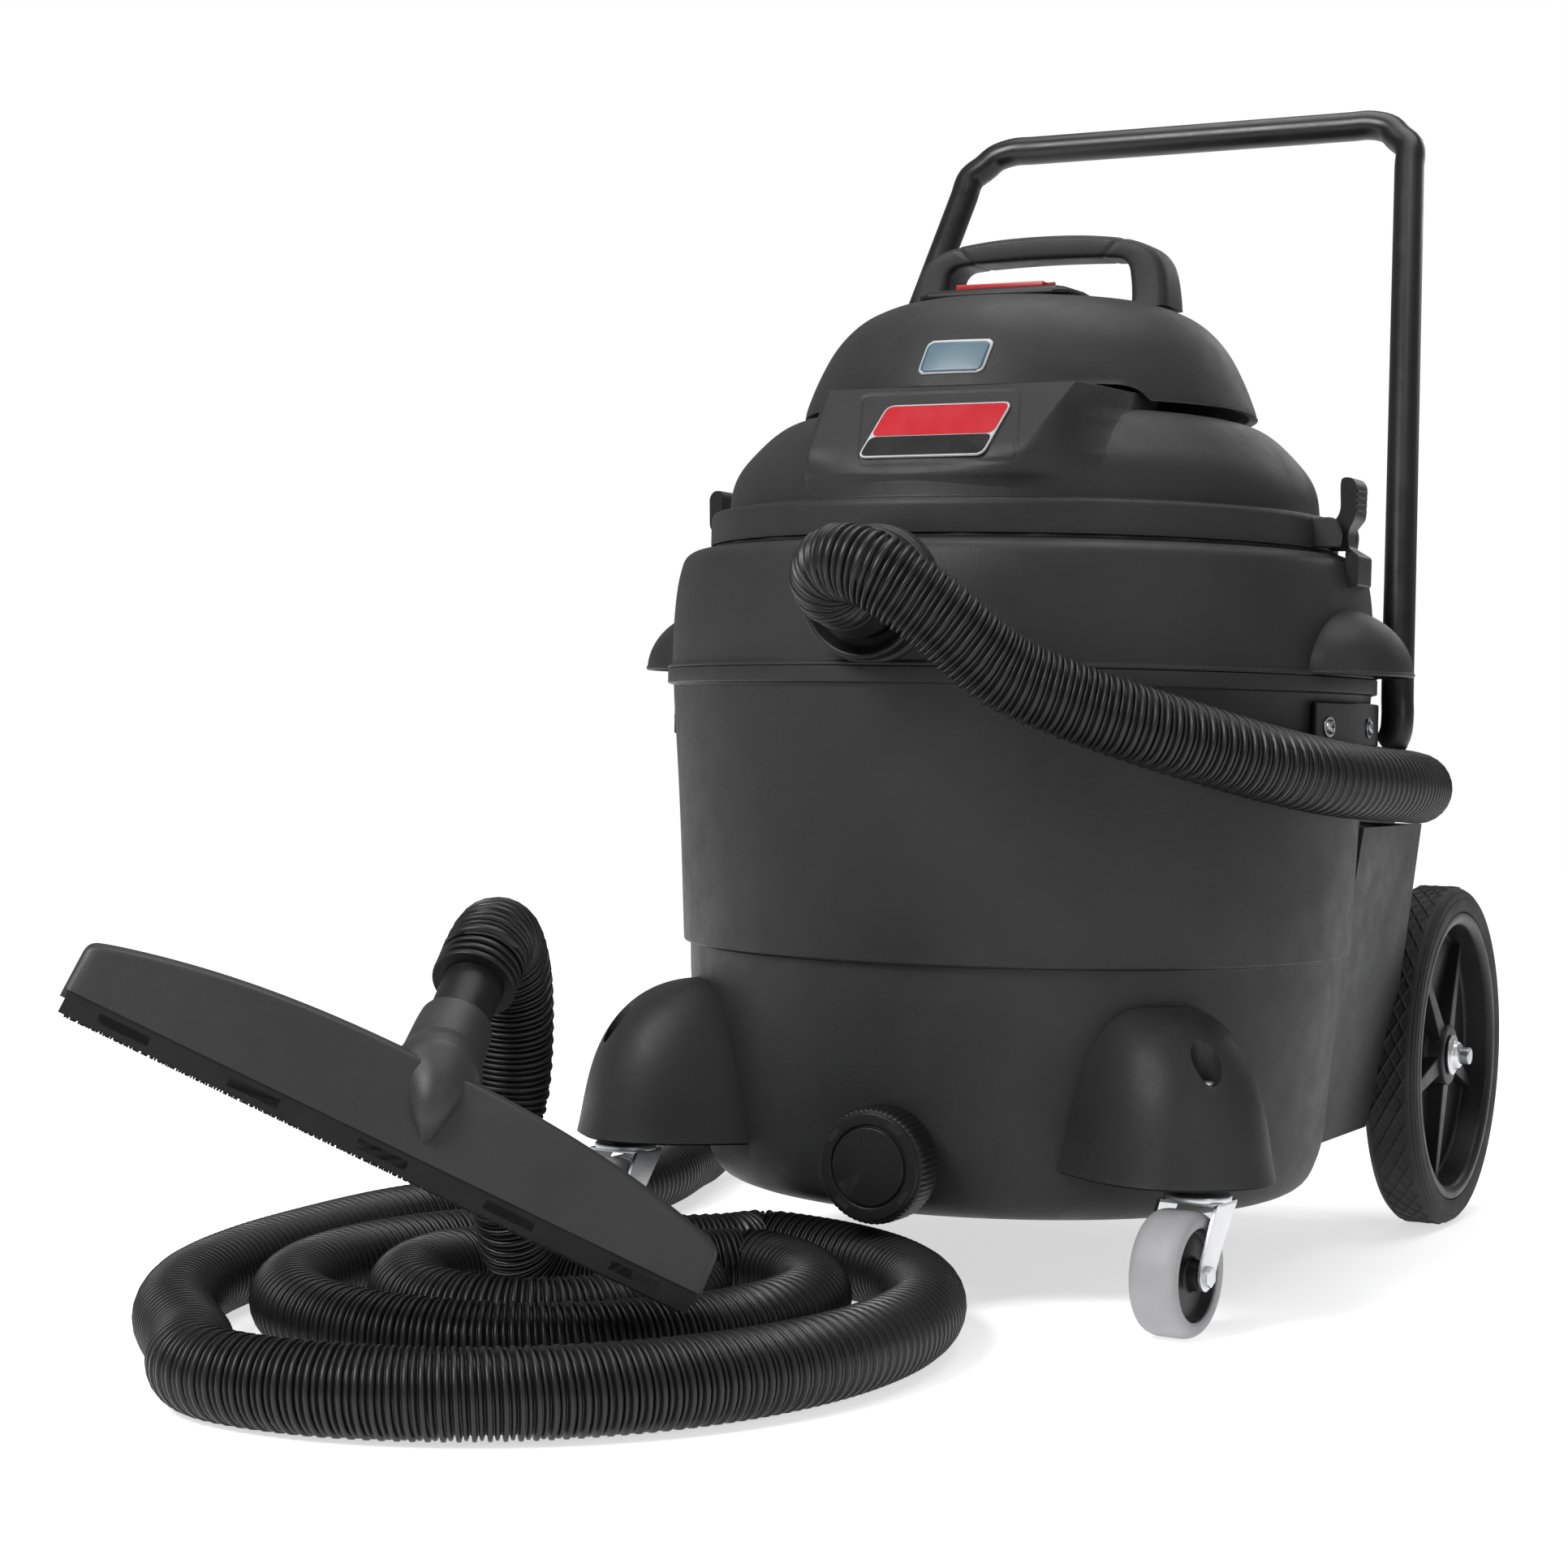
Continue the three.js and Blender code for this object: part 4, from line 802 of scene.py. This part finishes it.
def tread(across, angle):
    """The height of the fine raised lattice on the tyre's face."""
    u = across * 2.7
    v = angle * DIAMONDS / (2 * math.pi)
    first = abs((u + v) % 1 - 0.5)
    second = abs((u - v) % 1 - 0.5)
    return 1.3 * max(1 - first / 0.11, 1 - second / 0.11, 0)


tyre_profile = rounded([(108, TYRE_IN + 1), (118, TYRE_IN + 1, 1), (121, TYRE_IN + 1.5, 2),
                        (125.4, TYRE_IN + 6, 4)])
FACE_STEPS = 44
tyre_face = [(125.7, TYRE_IN + 6.6 + 26.8 * k / FACE_STEPS) for k in range(FACE_STEPS + 1)]
shoulder = rounded([(125.4, TYRE_OUT - 6, 4), (125.2, TYRE_OUT - 5, 1),
                    (123.6, TYRE_OUT - 3.6, 0.6), (124, TYRE_OUT - 2.8, 0.6),
                    (121.6, TYRE_OUT - 1.6, 0.6),
                    (121.4, TYRE_OUT - 0.6, 0.6), (118.4, TYRE_OUT - 0.9, 0.6),
                    (117.6, TYRE_OUT - 0.1, 0.6), (112, TYRE_OUT - 0.4, 1), (108, TYRE_OUT - 1)])
tyre_rows = []
for step in range(TREAD_STEPS):
    angle = 2 * math.pi * step / TREAD_STEPS
    c, s = math.cos(angle), math.sin(angle)
    row = [(r * c, r * s, x) for r, x in tyre_profile]
    for k, (r, x) in enumerate(tyre_face):
        if 1 < k < FACE_STEPS - 1:
            r += tread(k / FACE_STEPS, angle)
        row.append((r * c, r * s, x))
    row += [(r * c, r * s, x) for r, x in shoulder]
    tyre_rows.append(row)
rim = rounded([(6.7, TYRE_IN), (24, TYRE_IN, 1), (24, TYRE_IN + 12), (97, TYRE_IN + 10),
               (98, TYRE_IN + 2), (106.5, TYRE_IN + 2), (107.4, TYRE_OUT - 0.8, 1),
               (103, TYRE_OUT - 0.8, 1.5), (98, TYRE_OUT - 3, 3), (96.5, TYRE_IN + 17, 3),
               (24, TYRE_IN + 18.5, 4), (22.4, TYRE_IN + 32.6, 1.5), (6.7, TYRE_IN + 33)],
              closed=True)
BLADES = 5


def sloped(x, y, z):
    """A blade's outer edge falls from the hub to the rim."""
    return x, y, z + (6 * (1 - (x - 22) / 76) if z > TYRE_IN + 20 else 0)


blade = moved(prism([(22, -7), (98.5, -3.5), (98.5, 3.5), (22, 7)], TYRE_IN + 16, TYRE_IN + 24),
              sloped)
blades = [moved(blade, turned_by(2 * math.pi * k / BLADES)) for k in range(BLADES)]
nut = rounded([(6.6, 224), (15, 224, 0.4), (15, 225.6, 0.5), (11, 226.4, 1), (9.5, 230.6, 1.5),
               (6.6, 231.4)], closed=True)
for name, side in SIDES:
    turn = then(axle_turn, side)
    body = "rear_wheel_" + name
    build("tyre_" + name, grid(tyre_rows, close_rows=True, close_columns=True), "rubber", body,
          ["rear_tyre_" + name], turn=turn, smooth=40)
    build("rim_" + name, turned(rim, 128), "black_plastic", body, ["rear_rim_" + name], turn=turn)
    build("rim_blades_" + name, joined(*blades), "black_plastic", body, turn=turn, bevel=0.9)
    build("push_nut_" + name, turned(nut, 48), "zinc_plate", "root", ["axle_nut_" + name],
          turn=turn)
axle = rounded([(0, -238.3), (6.35, -238.3, 1.2), (6.35, 238.3, 1.2), (0, 238.3)])
build("axle_rod", turned(axle, 40, closed=False), "steel", "root", ["rear_axle"],
      turn=axle_turn)

# ---- Boots and casters --------------------------------------------------------------------
boot_turn = turned_by(math.atan2(CASTER[1], CASTER[0]))
BOOT_BOTTOM, BOOT_TOP = 90, 193
BOOT_MIDDLE = 218
WELL_MIDDLE = math.hypot(*CASTER) + 7
WELL_RADIUS = 9.5
WELL_FLOOR = 150


def boot_row(height):
    """A boot's section at a height, with its long way along X."""
    rise = min((height - BOOT_BOTTOM) / (BOOT_TOP - BOOT_BOTTOM), 1)
    shrink = (1 - rise ** 2.6) ** (1 / 2.2)
    flare = 3 * (1 - rise) ** 6 + 5 * (1 - rise)
    reach, half = 74 * shrink + 4 + flare, 41 * shrink + 14 + flare
    row = []
    for k in range(72):
        angle = 2 * math.pi * k / 72
        row.append((BOOT_MIDDLE + squared(math.cos(angle), 0.8) * reach,
                    squared(math.sin(angle), 0.8) * half, height))
    return row


boot_levels = [BOOT_BOTTOM + (BOOT_TOP - BOOT_BOTTOM) * (1 - (1 - k / 36) ** 1.7)
               for k in range(37)]
boot_shape = grid([boot_row(z) for z in boot_levels], close_columns=True, caps=True)
well_edge = [(WELL_MIDDLE + WELL_RADIUS * math.cos(a), WELL_RADIUS * math.sin(a)) for a in
             (2 * math.pi * k / 40 for k in range(40))]
well = prism(well_edge, WELL_FLOOR, BOOT_TOP + 37)
# A near-black sheet just under each boot: painted shade standing in for the shade in the boot's
# hollow underside.
hollow_shade_sheet = prism([(BOOT_MIDDLE + (x - BOOT_MIDDLE) * 0.97, y * 0.96) for x, y, _ in
                boot_row(BOOT_BOTTOM)], 88.6, 89.4)
screw = moved(turned(rounded([(0, 0.2), (6, 0.2), (6, 1.6, 1), (4.5, 2.8, 1), (0, 3)]), 40,
                     closed=False), shifted(same, WELL_MIDDLE, 0, WELL_FLOOR))
# Each caster's wheel trails to the front, a little to the left.
CASTER_YAW = math.radians(-5.4)
TRAIL = 28
WHEEL_Z = 38.5
fork_leg = rounded([(15, 80.2, 3), (-15, 80.2, 3), (-TRAIL - 9, 44, 8), (-TRAIL - 9.5, 35, 6),
                    (-TRAIL - 2, 28, 6), (-TRAIL + 9, 33, 6), (-8, 52, 20)], closed=True)
bolt = rounded([(0, -23.4), (6.6, -23.4, 0.8), (6.6, -19.4), (3.9, -19.4), (3.9, 19.4),
                (6.6, 19.4), (6.6, 23.4, 0.8), (0, 23.4)])
caster_tyre = rounded([(28.4, -14.4), (30, -15.5, 1), (35, -15.5, 3), (38.5, -10.5, 5),
                       (38.5, 10.5, 5), (35, 15.5, 3), (30, 15.5, 1), (28.4, 14.4)], closed=True)
caster_hub = rounded([(4.6, -17), (9, -17, 0.8), (10, -9.4, 2), (26, -8.6, 2), (28.6, -13.5, 1),
                      (28.9, -13.5, 0.2), (28.9, 13.5, 0.2), (28.6, 13.5, 1), (26, 8.6, 2),
                      (10, 9.4, 2), (9, 17, 0.8), (4.6, 17)], closed=True)
legs = [moved(prism(fork_leg, x - 1.2, x + 1.2), lambda a, b, c: (c, a, b)) for x in (-19, 19)]
plate = prism(rounded([(-20.2, -15, 3), (20.2, -15, 3), (20.2, 15, 3), (-20.2, 15, 3)],
                      closed=True), 78.2, 80.4)
race = rounded([(0, 80), (21, 80, 0.5), (21, 84, 2), (14, 85, 2), (12, 88, 1), (0, 88)])
collar = rounded([(0, 88.3), (15, 88.3, 1), (15, 97, 1), (0, 97)])
for name, side in SIDES:
    turn = then(boot_turn, side)
    boot = build("boot_" + name, boot_shape, "charcoal_plastic", "root", ["caster_boot_" + name],
                 turn=turn, smooth=55)
    carve(boot, build("boot_cutter_" + name, well, "painted_recess_shade", "root", turn=turn))
    boot.data.shade_smooth()
    boot.data.set_sharp_from_angle(angle=math.radians(40))
    # The sheet under the boot is painted shade, not a part of its own.
    build("boot_underside_shade_" + name, hollow_shade_sheet, "painted_recess_shade", "root", turn=turn, smooth=20)
    build("boot_fixing_" + name, screw, "zinc_plate", "root", turn=turn, smooth=30)
    swivel, spin = "caster_" + name, "caster_wheel_" + name
    put = shifted(turned_by(CASTER_YAW), *side(*CASTER, 0))
    build("fork_" + name, joined(plate, *legs), "zinc_plate", swivel, ["caster_fork_" + name],
          turn=put, bevel=0.7)
    build("fork_race_" + name, turned(race, 64, closed=False), "zinc_plate", swivel, turn=put)
    build("stem_collar_" + name, turned(collar, 48, closed=False), "black_plastic", "root",
          turn=put)
    wheel = then(shifted(towards_right, 0, -TRAIL, WHEEL_Z), put)
    build("fork_bolt_" + name, turned(bolt, 6, closed=False), "zinc_plate", swivel, turn=wheel,
          bevel=0.5)
    build("caster_tread_" + name, turned(caster_tyre, 96), "grey_tread", spin,
          ["caster_tyre_" + name], turn=wheel)
    build("caster_core_" + name, turned(caster_hub, 64), "black_plastic", spin,
          ["caster_hub_" + name], turn=wheel)

# ---- Lid ----------------------------------------------------------------------------------
lid = rounded([
    (207.2, 486.8), (215, 486.8, 0.8), (215, 506, 2.2), (213, 509, 1), (202.4, 510, 1.6),
    (201, 526, 10), (196, 538, 12), (186.5, 549.5, 12), (173, 563, 12), (160, 571, 10),
    (145, 574, 8), (60, 574), (60, 570.5), (144, 570.5), (158, 567.5, 8), (170.5, 560.5, 8),
    (183.5, 547.5, 8), (192.6, 536.5, 8), (197.5, 525, 6), (198.6, 509), (207.2, 505)],
    closed=True)
build("lid_dome", turned(lid, 192), "charcoal_plastic", "motor_head", ["lid"])
LABEL_X, LABEL_Z = 17, 554
NOSE_LEFT = -73.0
NOSE_TOP, NOSE_BEND, NOSE_BOTTOM = 583.6, 524, 511
NOSE_TOP_DEPTH, NOSE_BEND_DEPTH = 166, 205
NOSE_SLOPE = (NOSE_TOP - NOSE_BEND) / (NOSE_BEND_DEPTH - NOSE_TOP_DEPTH)
DOME_HEIGHTS = [510, 526, 538, 549.5, 563, 571, 584]
DOME_RADII = [202.4, 201, 196, 186.5, 173, 160, 150]


def nose_depth(z):
    """How far in front of the axis the nose's face stands at a height."""
    if z > NOSE_BEND:
        return NOSE_TOP_DEPTH + (NOSE_TOP - z) / NOSE_SLOPE
    return NOSE_BEND_DEPTH - (NOSE_BEND - z) * 0.2


def soft_step(share):
    """Rises from 0 to 1 with a soft start and end."""
    share = min(max(share, 0), 1)
    return share * share * (3 - 2 * share)


def nose_point(u, z):
    """The nose grows out of the dome: sharply at the left, softly to the right and below."""
    down = (584 - z) / 64
    right, fade = 110 - 40 * down, 6 + 50 * down
    x = NOSE_LEFT + (right + fade - NOSE_LEFT) * u
    radius = float(np.interp(z, DOME_HEIGHTS, DOME_RADII))
    dome = math.sqrt(max(radius ** 2 - x * x, 900)) - 0.8
    rise = max(nose_depth(z) - dome, 0)
    low = soft_step((z - NOSE_BOTTOM) / 34)
    depth = dome + rise * low * soft_step((right + fade - x) / (fade + 6))
    edge_left = min((x - NOSE_LEFT) / 5.0, 1)
    fall = 6 * (1 - math.sqrt(max(1 - (1 - edge_left) ** 2, 0)))
    away = max(abs(x - LABEL_X + (z - LABEL_Z) * 0.25) - 50, 0) ** 2
    away = math.sqrt(away + max(abs(z - LABEL_Z - 1) - 18, 0) ** 2)
    panel = 0.7 * math.exp(-((away - 5) / 1.3) ** 2)
    return x, -(depth - (fall + panel) * low), z


nose_rows = []
for k in range(61):
    z = NOSE_BOTTOM + 72.4 * k / 60
    row = [nose_point(q / 150, z) for q in range(151)]
    first, last = row[0], row[-1]
    sides = [(first[0] - 0.8, first[1] + 3, z), (first[0] - 1.2, first[1] + 45, z)]
    ends = [(last[0], last[1] + 2.5, z), (last[0], last[1] + 45, z)]
    nose_rows.append(sides[::-1] + row + ends)
for drop, low in ((0.8, 0.2), (2.5, -0.3), (45, -0.3)):
    nose_rows.append([(x, y + drop, NOSE_TOP - low) for x, y, _ in nose_rows[60]])
build("lid_nose", grid(nose_rows), "charcoal_plastic", "motor_head", smooth=42)

# The blank label: a pale border under a red and a dark panel.
label_tilt = math.atan2(NOSE_TOP - NOSE_BEND, NOSE_BEND_DEPTH - NOSE_TOP_DEPTH)


def label_turn(x, y, z):
    """From the label's own plane, x across, y up the slope and z outwards, to the nose."""
    c, s = math.cos(label_tilt), math.sin(label_tilt)
    return LABEL_X + x, -186.4 + y * c - z * s, LABEL_Z + y * s + z * c


def slanted(x0, x1, y0, y1, radius):
    """A rounded box whose sides lean to the right."""
    lean = 0.24
    corners = [(x0 + y0 * lean, y0, radius), (x1 + y0 * lean, y0, radius),
               (x1 + y1 * lean, y1, radius), (x0 + y1 * lean, y1, radius)]
    return rounded(corners, closed=True, steps=5)


for name, box, low, high, finish, replaced in (
        ("border", (-43.5, 43.5, -22, 20, 6), -0.4, 0.9, "label_edge", ["front_label"]),
        ("red", (-42.4, 42.4, -5, 18.9, 5), -0.2, 1.1, "label_film", []),
        ("lower", (-42.4, 42.4, -20.9, -5.6, 5), -0.2, 1.1, "label_dark", [])):
    build("label_" + name, prism(slanted(*box), low, high), finish, "motor_head", replaced,
          turn=label_turn, smooth=30)

# ---- Cowl ---------------------------------------------------------------------------------
COWL_Y = 10
cowl_side = rounded([(156, 577), (155, 583, 6), (147.5, 603, 14), (135.5, 626, 14), (119, 643, 14),
                     (100, 652, 14), (88, 655, 10), (70, 655)], steps=6)


def notch(x):
    """How far the cowl's edge is cut away in front, over the nose."""
    left = min(max((x + 84) / 40, 0), 1)
    right = min(max((119 - x) / 15, 0), 1)
    return 9.6 * math.sqrt(1 - (1 - left) ** 2) * math.sqrt(1 - (1 - right) ** 2)


def cowl_edge(x, front):
    """The height of the cowl's lower edge, which rises to the right and over the nose."""
    lean = 3 * min(max(x / 150, 0), 1) ** 1.5 - 3 * min(max(-x / 150, 0), 1) ** 2
    return 577 + lean + (notch(x) if front else 0)


cowl_rows = []
for step in range(288):
    angle = 2 * math.pi * step / 288
    c, s = math.cos(angle), math.sin(angle)
    low = cowl_edge(152 * c, s < 0)
    row = [(149 * c, 149 * s, low + 5), (150 * c, 150 * s, low + 0.5)]
    row += [(r * c, r * s, max(z, low)) for r, z in cowl_side]
    row.append((0, 0, 655))
    cowl_rows.append(row)
build("cowl_shell", grid(cowl_rows, close_rows=True), "charcoal_plastic", "motor_head",
      ["head_cowl"], turn=shifted(same, 0, COWL_Y, 0), smooth=45)


def cowl_surface(x, z, out):
    """A point on the cowl's front at a place across and a height."""
    radius = np.interp(z, [p[1] for p in cowl_side[:-1]], [p[0] for p in cowl_side[:-1]]) + out
    return x, COWL_Y - math.sqrt(radius ** 2 - x * x), z


def badge(name, x0, x1, z0, z1, out, finish):
    """A plain leaning plate that follows the cowl's front."""
    rows = []
    for k in range(13):
        v = k / 12
        z = z0 + (z1 - z0) * v
        inset = 3.5 * (1 - math.sqrt(max(1 - (max(abs(v - 0.5) - 0.3, 0) / 0.2) ** 2, 0)))
        shift = 0.15 * (z - z0)
        rows.append([cowl_surface(x0 + inset + shift + (x1 - x0 - 2 * inset) * q / 24, z, out)
                     for q in range(25)])
    build(name, grid(rows), finish, "motor_head", thick=1.2, smooth=40)


badge("badge_border", -18, 28, 595, 618, 1.0, "label_edge")
badge("badge_plate", -16.6, 26.6, 596.4, 616.6, 1.3, "badge_blue")

# ---- Carrying handle, switch and gland ----------------------------------------------------
HANDLE_Y = 34
HANDLE_BASE = 655.6
outer_half = [(-96, 0), (-95.4, 9), (-93, 24), (-89.5, 33), (-82, 41), (-68, 47), (-40, 51.4)]
inner_half = [(-69, 0), (-69, 9), (-68, 20), (-66, 29), (-61, 33.4), (-52, 34.6), (-35, 35.4)]


def arch(half, height, count):
    """A smooth line over an arch, as a number of (across, height) pairs."""
    whole = [*half, (0, height), *[(-x, z) for x, z in reversed(half)]]
    line, _ = smooth_line([(x, 0, z) for x, z in whole], 0.5)
    picks = np.linspace(0, len(line) - 1, count).round().astype(int)
    return line[picks][:, [0, 2]]


ARCH_STEPS = 120
outer_line, inner_line = arch(outer_half, 53, ARCH_STEPS), arch(inner_half, 36, ARCH_STEPS)
handle_rows = []
for k, (far, near) in enumerate(zip(outer_line, inner_line)):
    share = k / (ARCH_STEPS - 1)
    middle, reach = (far + near) / 2, (far - near) / 2
    wide = 18.5 + 2.2 * abs(share * 2 - 1) ** 6
    groove = 0.6 if k in (30, 31, 88, 89) else 0
    row = []
    for q in range(40):
        angle = 2 * math.pi * q / 40
        c, s = squared(math.cos(angle), 0.38), squared(math.sin(angle), 0.38)
        point = middle + reach * c * (1 - groove / 10)
        row.append((point[0], HANDLE_Y + (wide - groove) * s, HANDLE_BASE + point[1]))
    handle_rows.append(row)
build("carry_arch", grid(handle_rows, close_columns=True, caps=True), "charcoal_plastic",
      "motor_head", ["carry_handle"], smooth=50)
softened("switch_bezel", "black_plastic", "motor_head", 2.2, 4)
softened("power_rocker", "red_plastic", "rocker", 0.8, 3)
gland = rounded([(0, 0), (15, 0, 0.5), (15, 4, 1), (9.4, 5, 1), (9, 8, 0.5), (8, 9, 0.4),
                 (8.6, 12, 0.4), (7.6, 13, 0.4), (8.2, 16, 0.4), (7.3, 17, 0.4), (7.8, 20, 0.4),
                 (7, 26, 0.8), (4.5, 26, 0.4), (4.5, 8), (0, 8)])
build("gland_boot", turned(gland, 48, closed=False), "rubber", "motor_head", ["cord_gland"],
      turn=lambda x, y, z: (x, 202 + z, 529 - y))

# ---- Clamps -------------------------------------------------------------------------------
lever = rounded([(235, 461, 1), (243, 462.5, 1.5), (243.2, 482, 2), (234.5, 487.5, 2),
                 (233.5, 498, 4), (239.5, 507, 3), (240, 529, 3), (236.5, 533.4, 2.5),
                 (230, 533.4, 2.5), (229, 529, 3), (229.6, 511, 5), (225, 504, 3), (220.4, 501, 3),
                 (220.4, 492, 3), (226.5, 489.6, 2), (233.5, 485, 1.5)], closed=True)


def lever_half(z):
    """Half the clamp lever's width at a height."""
    return np.interp(z, [459, 482, 488, 499, 507, 534], [15, 15, 8.5, 9, 12.5, 12.8])


lever_rows = [[(x, side * float(lever_half(z)), z) for x, z in lever] for side in (-1, 1)]
lever_shape = grid(lever_rows, close_columns=True, caps=True)
tab_ribs = []
for k in range(4):
    z = 511.5 + 4.2 * k
    x = np.interp(z, [508, 529], [239.5, 240])
    tab_ribs.append(prism([(x - 0.6, -10.5), (x + 0.9, -10.5), (x + 0.9, 10.5), (x - 0.6, 10.5)],
                          z, z + 1.2))
ear = rounded([(205, 487.2), (231.5, 487.2, 2), (233, 497, 6), (229, 507, 5), (205, 507)],
              closed=True)
ears = [moved(prism(ear, low, high), swapped)
        for low, high in ((-22, -15.9), (15.9, 22))]
lug = rounded([(222, 464), (230.8, 464, 1), (230.8, 480.5, 1), (222, 484)], closed=True)
for name, side in SIDES:
    body = "clamp_" + name
    build("clamp_arm_" + name, lever_shape, "black_plastic", body, ["clamp_lever_" + name],
          turn=side, bevel=0.9)
    build("clamp_ribs_" + name, joined(*tab_ribs), "black_plastic", body, turn=side, bevel=0.3)
    build("clamp_ears_" + name, joined(*ears), "charcoal_plastic", "motor_head", turn=side,
          bevel=1.2)
    build("clamp_catch_" + name, moved(prism(lug, -11, 11), swapped),
          "charcoal_plastic", "root", turn=side, bevel=1.0)

# ---- Inside -------------------------------------------------------------------------------
KEPT = {
    "lid_gasket": "rubber", "motor_pan": "black_plastic", "motor_housing": "aluminium",
    "bearing_top": "steel", "bearing_bottom": "steel", "fan_case": "aluminium",
    "armature": "copper", "impeller": "aluminium", "clamp_pin_right": "zinc_plate",
    "clamp_pin_left": "zinc_plate",
}
for node, finish in KEPT.items():
    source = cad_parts[node]
    for slot in source.material_slots:
        slot.material = FINISHES[finish]
softened("filter_cage", "black_plastic", "motor_head", 1.2)
softened("filter_retainer", "black_plastic", "motor_head", 1.5)
softened("filter_nut", "black_plastic", "filter_knob", 1.5)
PLEATS = 52
PLEAT_LOW, PLEAT_TOP = 352, 481.6
pleat_angles = [2 * math.pi * k / (PLEATS * 6) for k in range(PLEATS * 6)]
pleat_rows = []
for z in (PLEAT_LOW, 353, *[354 + 126 * k / 8 for k in range(9)], 481, PLEAT_TOP):
    pinch = 1.2 if z in (PLEAT_LOW, PLEAT_TOP) else 0
    row = []
    for angle in pleat_angles:
        wave = abs((angle * PLEATS / (2 * math.pi)) % 1 - 0.5) * 2
        r = 83.5 + 11.2 * wave - pinch
        row.append((r * math.cos(angle), r * math.sin(angle), z))
    pleat_rows.append(row)
for z in (PLEAT_TOP, PLEAT_LOW):
    pleat_rows.append([(62 * math.cos(a), 62 * math.sin(a), z) for a in pleat_angles])
build("filter_pleats", grid(pleat_rows, close_rows=True, close_columns=True), "paper",
      "motor_head", ["filter_cartridge"], smooth=30)
ball = [(27 * math.sin(math.pi * k / 32), 376.3 - 27 * math.cos(math.pi * k / 32)
         + (0.8 if k == 16 else 0)) for k in range(33)]
build("float_shell", turned(ball, 64, closed=False), "red_plastic", "float", ["float_ball"],
      smooth=60)

# ---- Floor and light ----------------------------------------------------------------------
FLOOR_SIZE = 7
floor_mesh = bpy.data.meshes.new("floor")
work = bmesh.new()
bmesh.ops.create_grid(work, x_segments=40, y_segments=40, size=FLOOR_SIZE)
work.to_mesh(floor_mesh)
work.free()
floor = bpy.data.objects.new("floor", floor_mesh)
bpy.context.scene.collection.objects.link(floor)
paper_white = surface("floor_paper", (0.8, 0.8, 0.803), 0.7, grain=90, bump=0.02, blotch=0.008,
                      specular=0.1)
# The floor's own glow rises outwards, so that no step shows where it meets the background.
tree = paper_white.node_tree
glow = tree.nodes["Principled BSDF"]
glow.inputs["Emission Color"].default_value = (1, 1, 1, 1)
far = tree.nodes.new("ShaderNodeVectorMath")
far.operation = "LENGTH"
tree.links.new(tree.nodes["Texture Coordinate"].outputs["Object"], far.inputs[0])
brighten = tree.nodes.new("ShaderNodeMapRange")
for socket, value in (("From Min", 0.9), ("From Max", 3.2), ("To Min", 0.62), ("To Max", 0.8)):
    brighten.inputs[socket].default_value = value
tree.links.new(far.outputs["Value"], brighten.inputs["Value"])
tree.links.new(brighten.outputs["Result"], glow.inputs["Emission Strength"])
floor.data.materials.append(paper_white)


def lamp(name, place, size, power):
    """A rectangular light that is aimed at the machine's middle."""
    data = bpy.data.lights.new(name, "AREA")
    data.shape = "RECTANGLE"
    data.size, data.size_y = size
    data.energy = power
    lamp_obj = bpy.data.objects.new(name, data)
    bpy.context.scene.collection.objects.link(lamp_obj)
    lamp_obj.location = place
    aim_at = Vector(TARGET) - Vector(place)
    lamp_obj.rotation_euler = aim_at.to_track_quat("-Z", "Y").to_euler()


TARGET = (0, -0.15, 0.4)
lamp("key", (-0.9, -2.5, 2.4), (1.3, 1.3), 100)
lamp("fill", (2.6, -1.6, 1.4), (1.0, 1.6), 10)
lamp("top", (0.1, 0.2, 2.8), (2.2, 1.8), 40)
lamp("back", (0.5, 2.6, 1.8), (2.0, 1.2), 12)
world = bpy.data.worlds.new("studio")
world.use_nodes = True
sky = world.node_tree
seen = sky.nodes.new("ShaderNodeLightPath")
level = sky.nodes.new("ShaderNodeMapRange")
# The background is white to the camera, and dimmer as a light.
level.inputs["To Min"].default_value = 0.24
level.inputs["To Max"].default_value = 1.0
sky.links.new(seen.outputs["Is Camera Ray"], level.inputs["Value"])
sky.links.new(level.outputs["Result"], sky.nodes["Background"].inputs["Strength"])
sky.nodes["Background"].inputs["Color"].default_value = (1, 1, 1, 1)
bpy.context.scene.world = world
bpy.context.scene.view_settings.view_transform = "Standard"
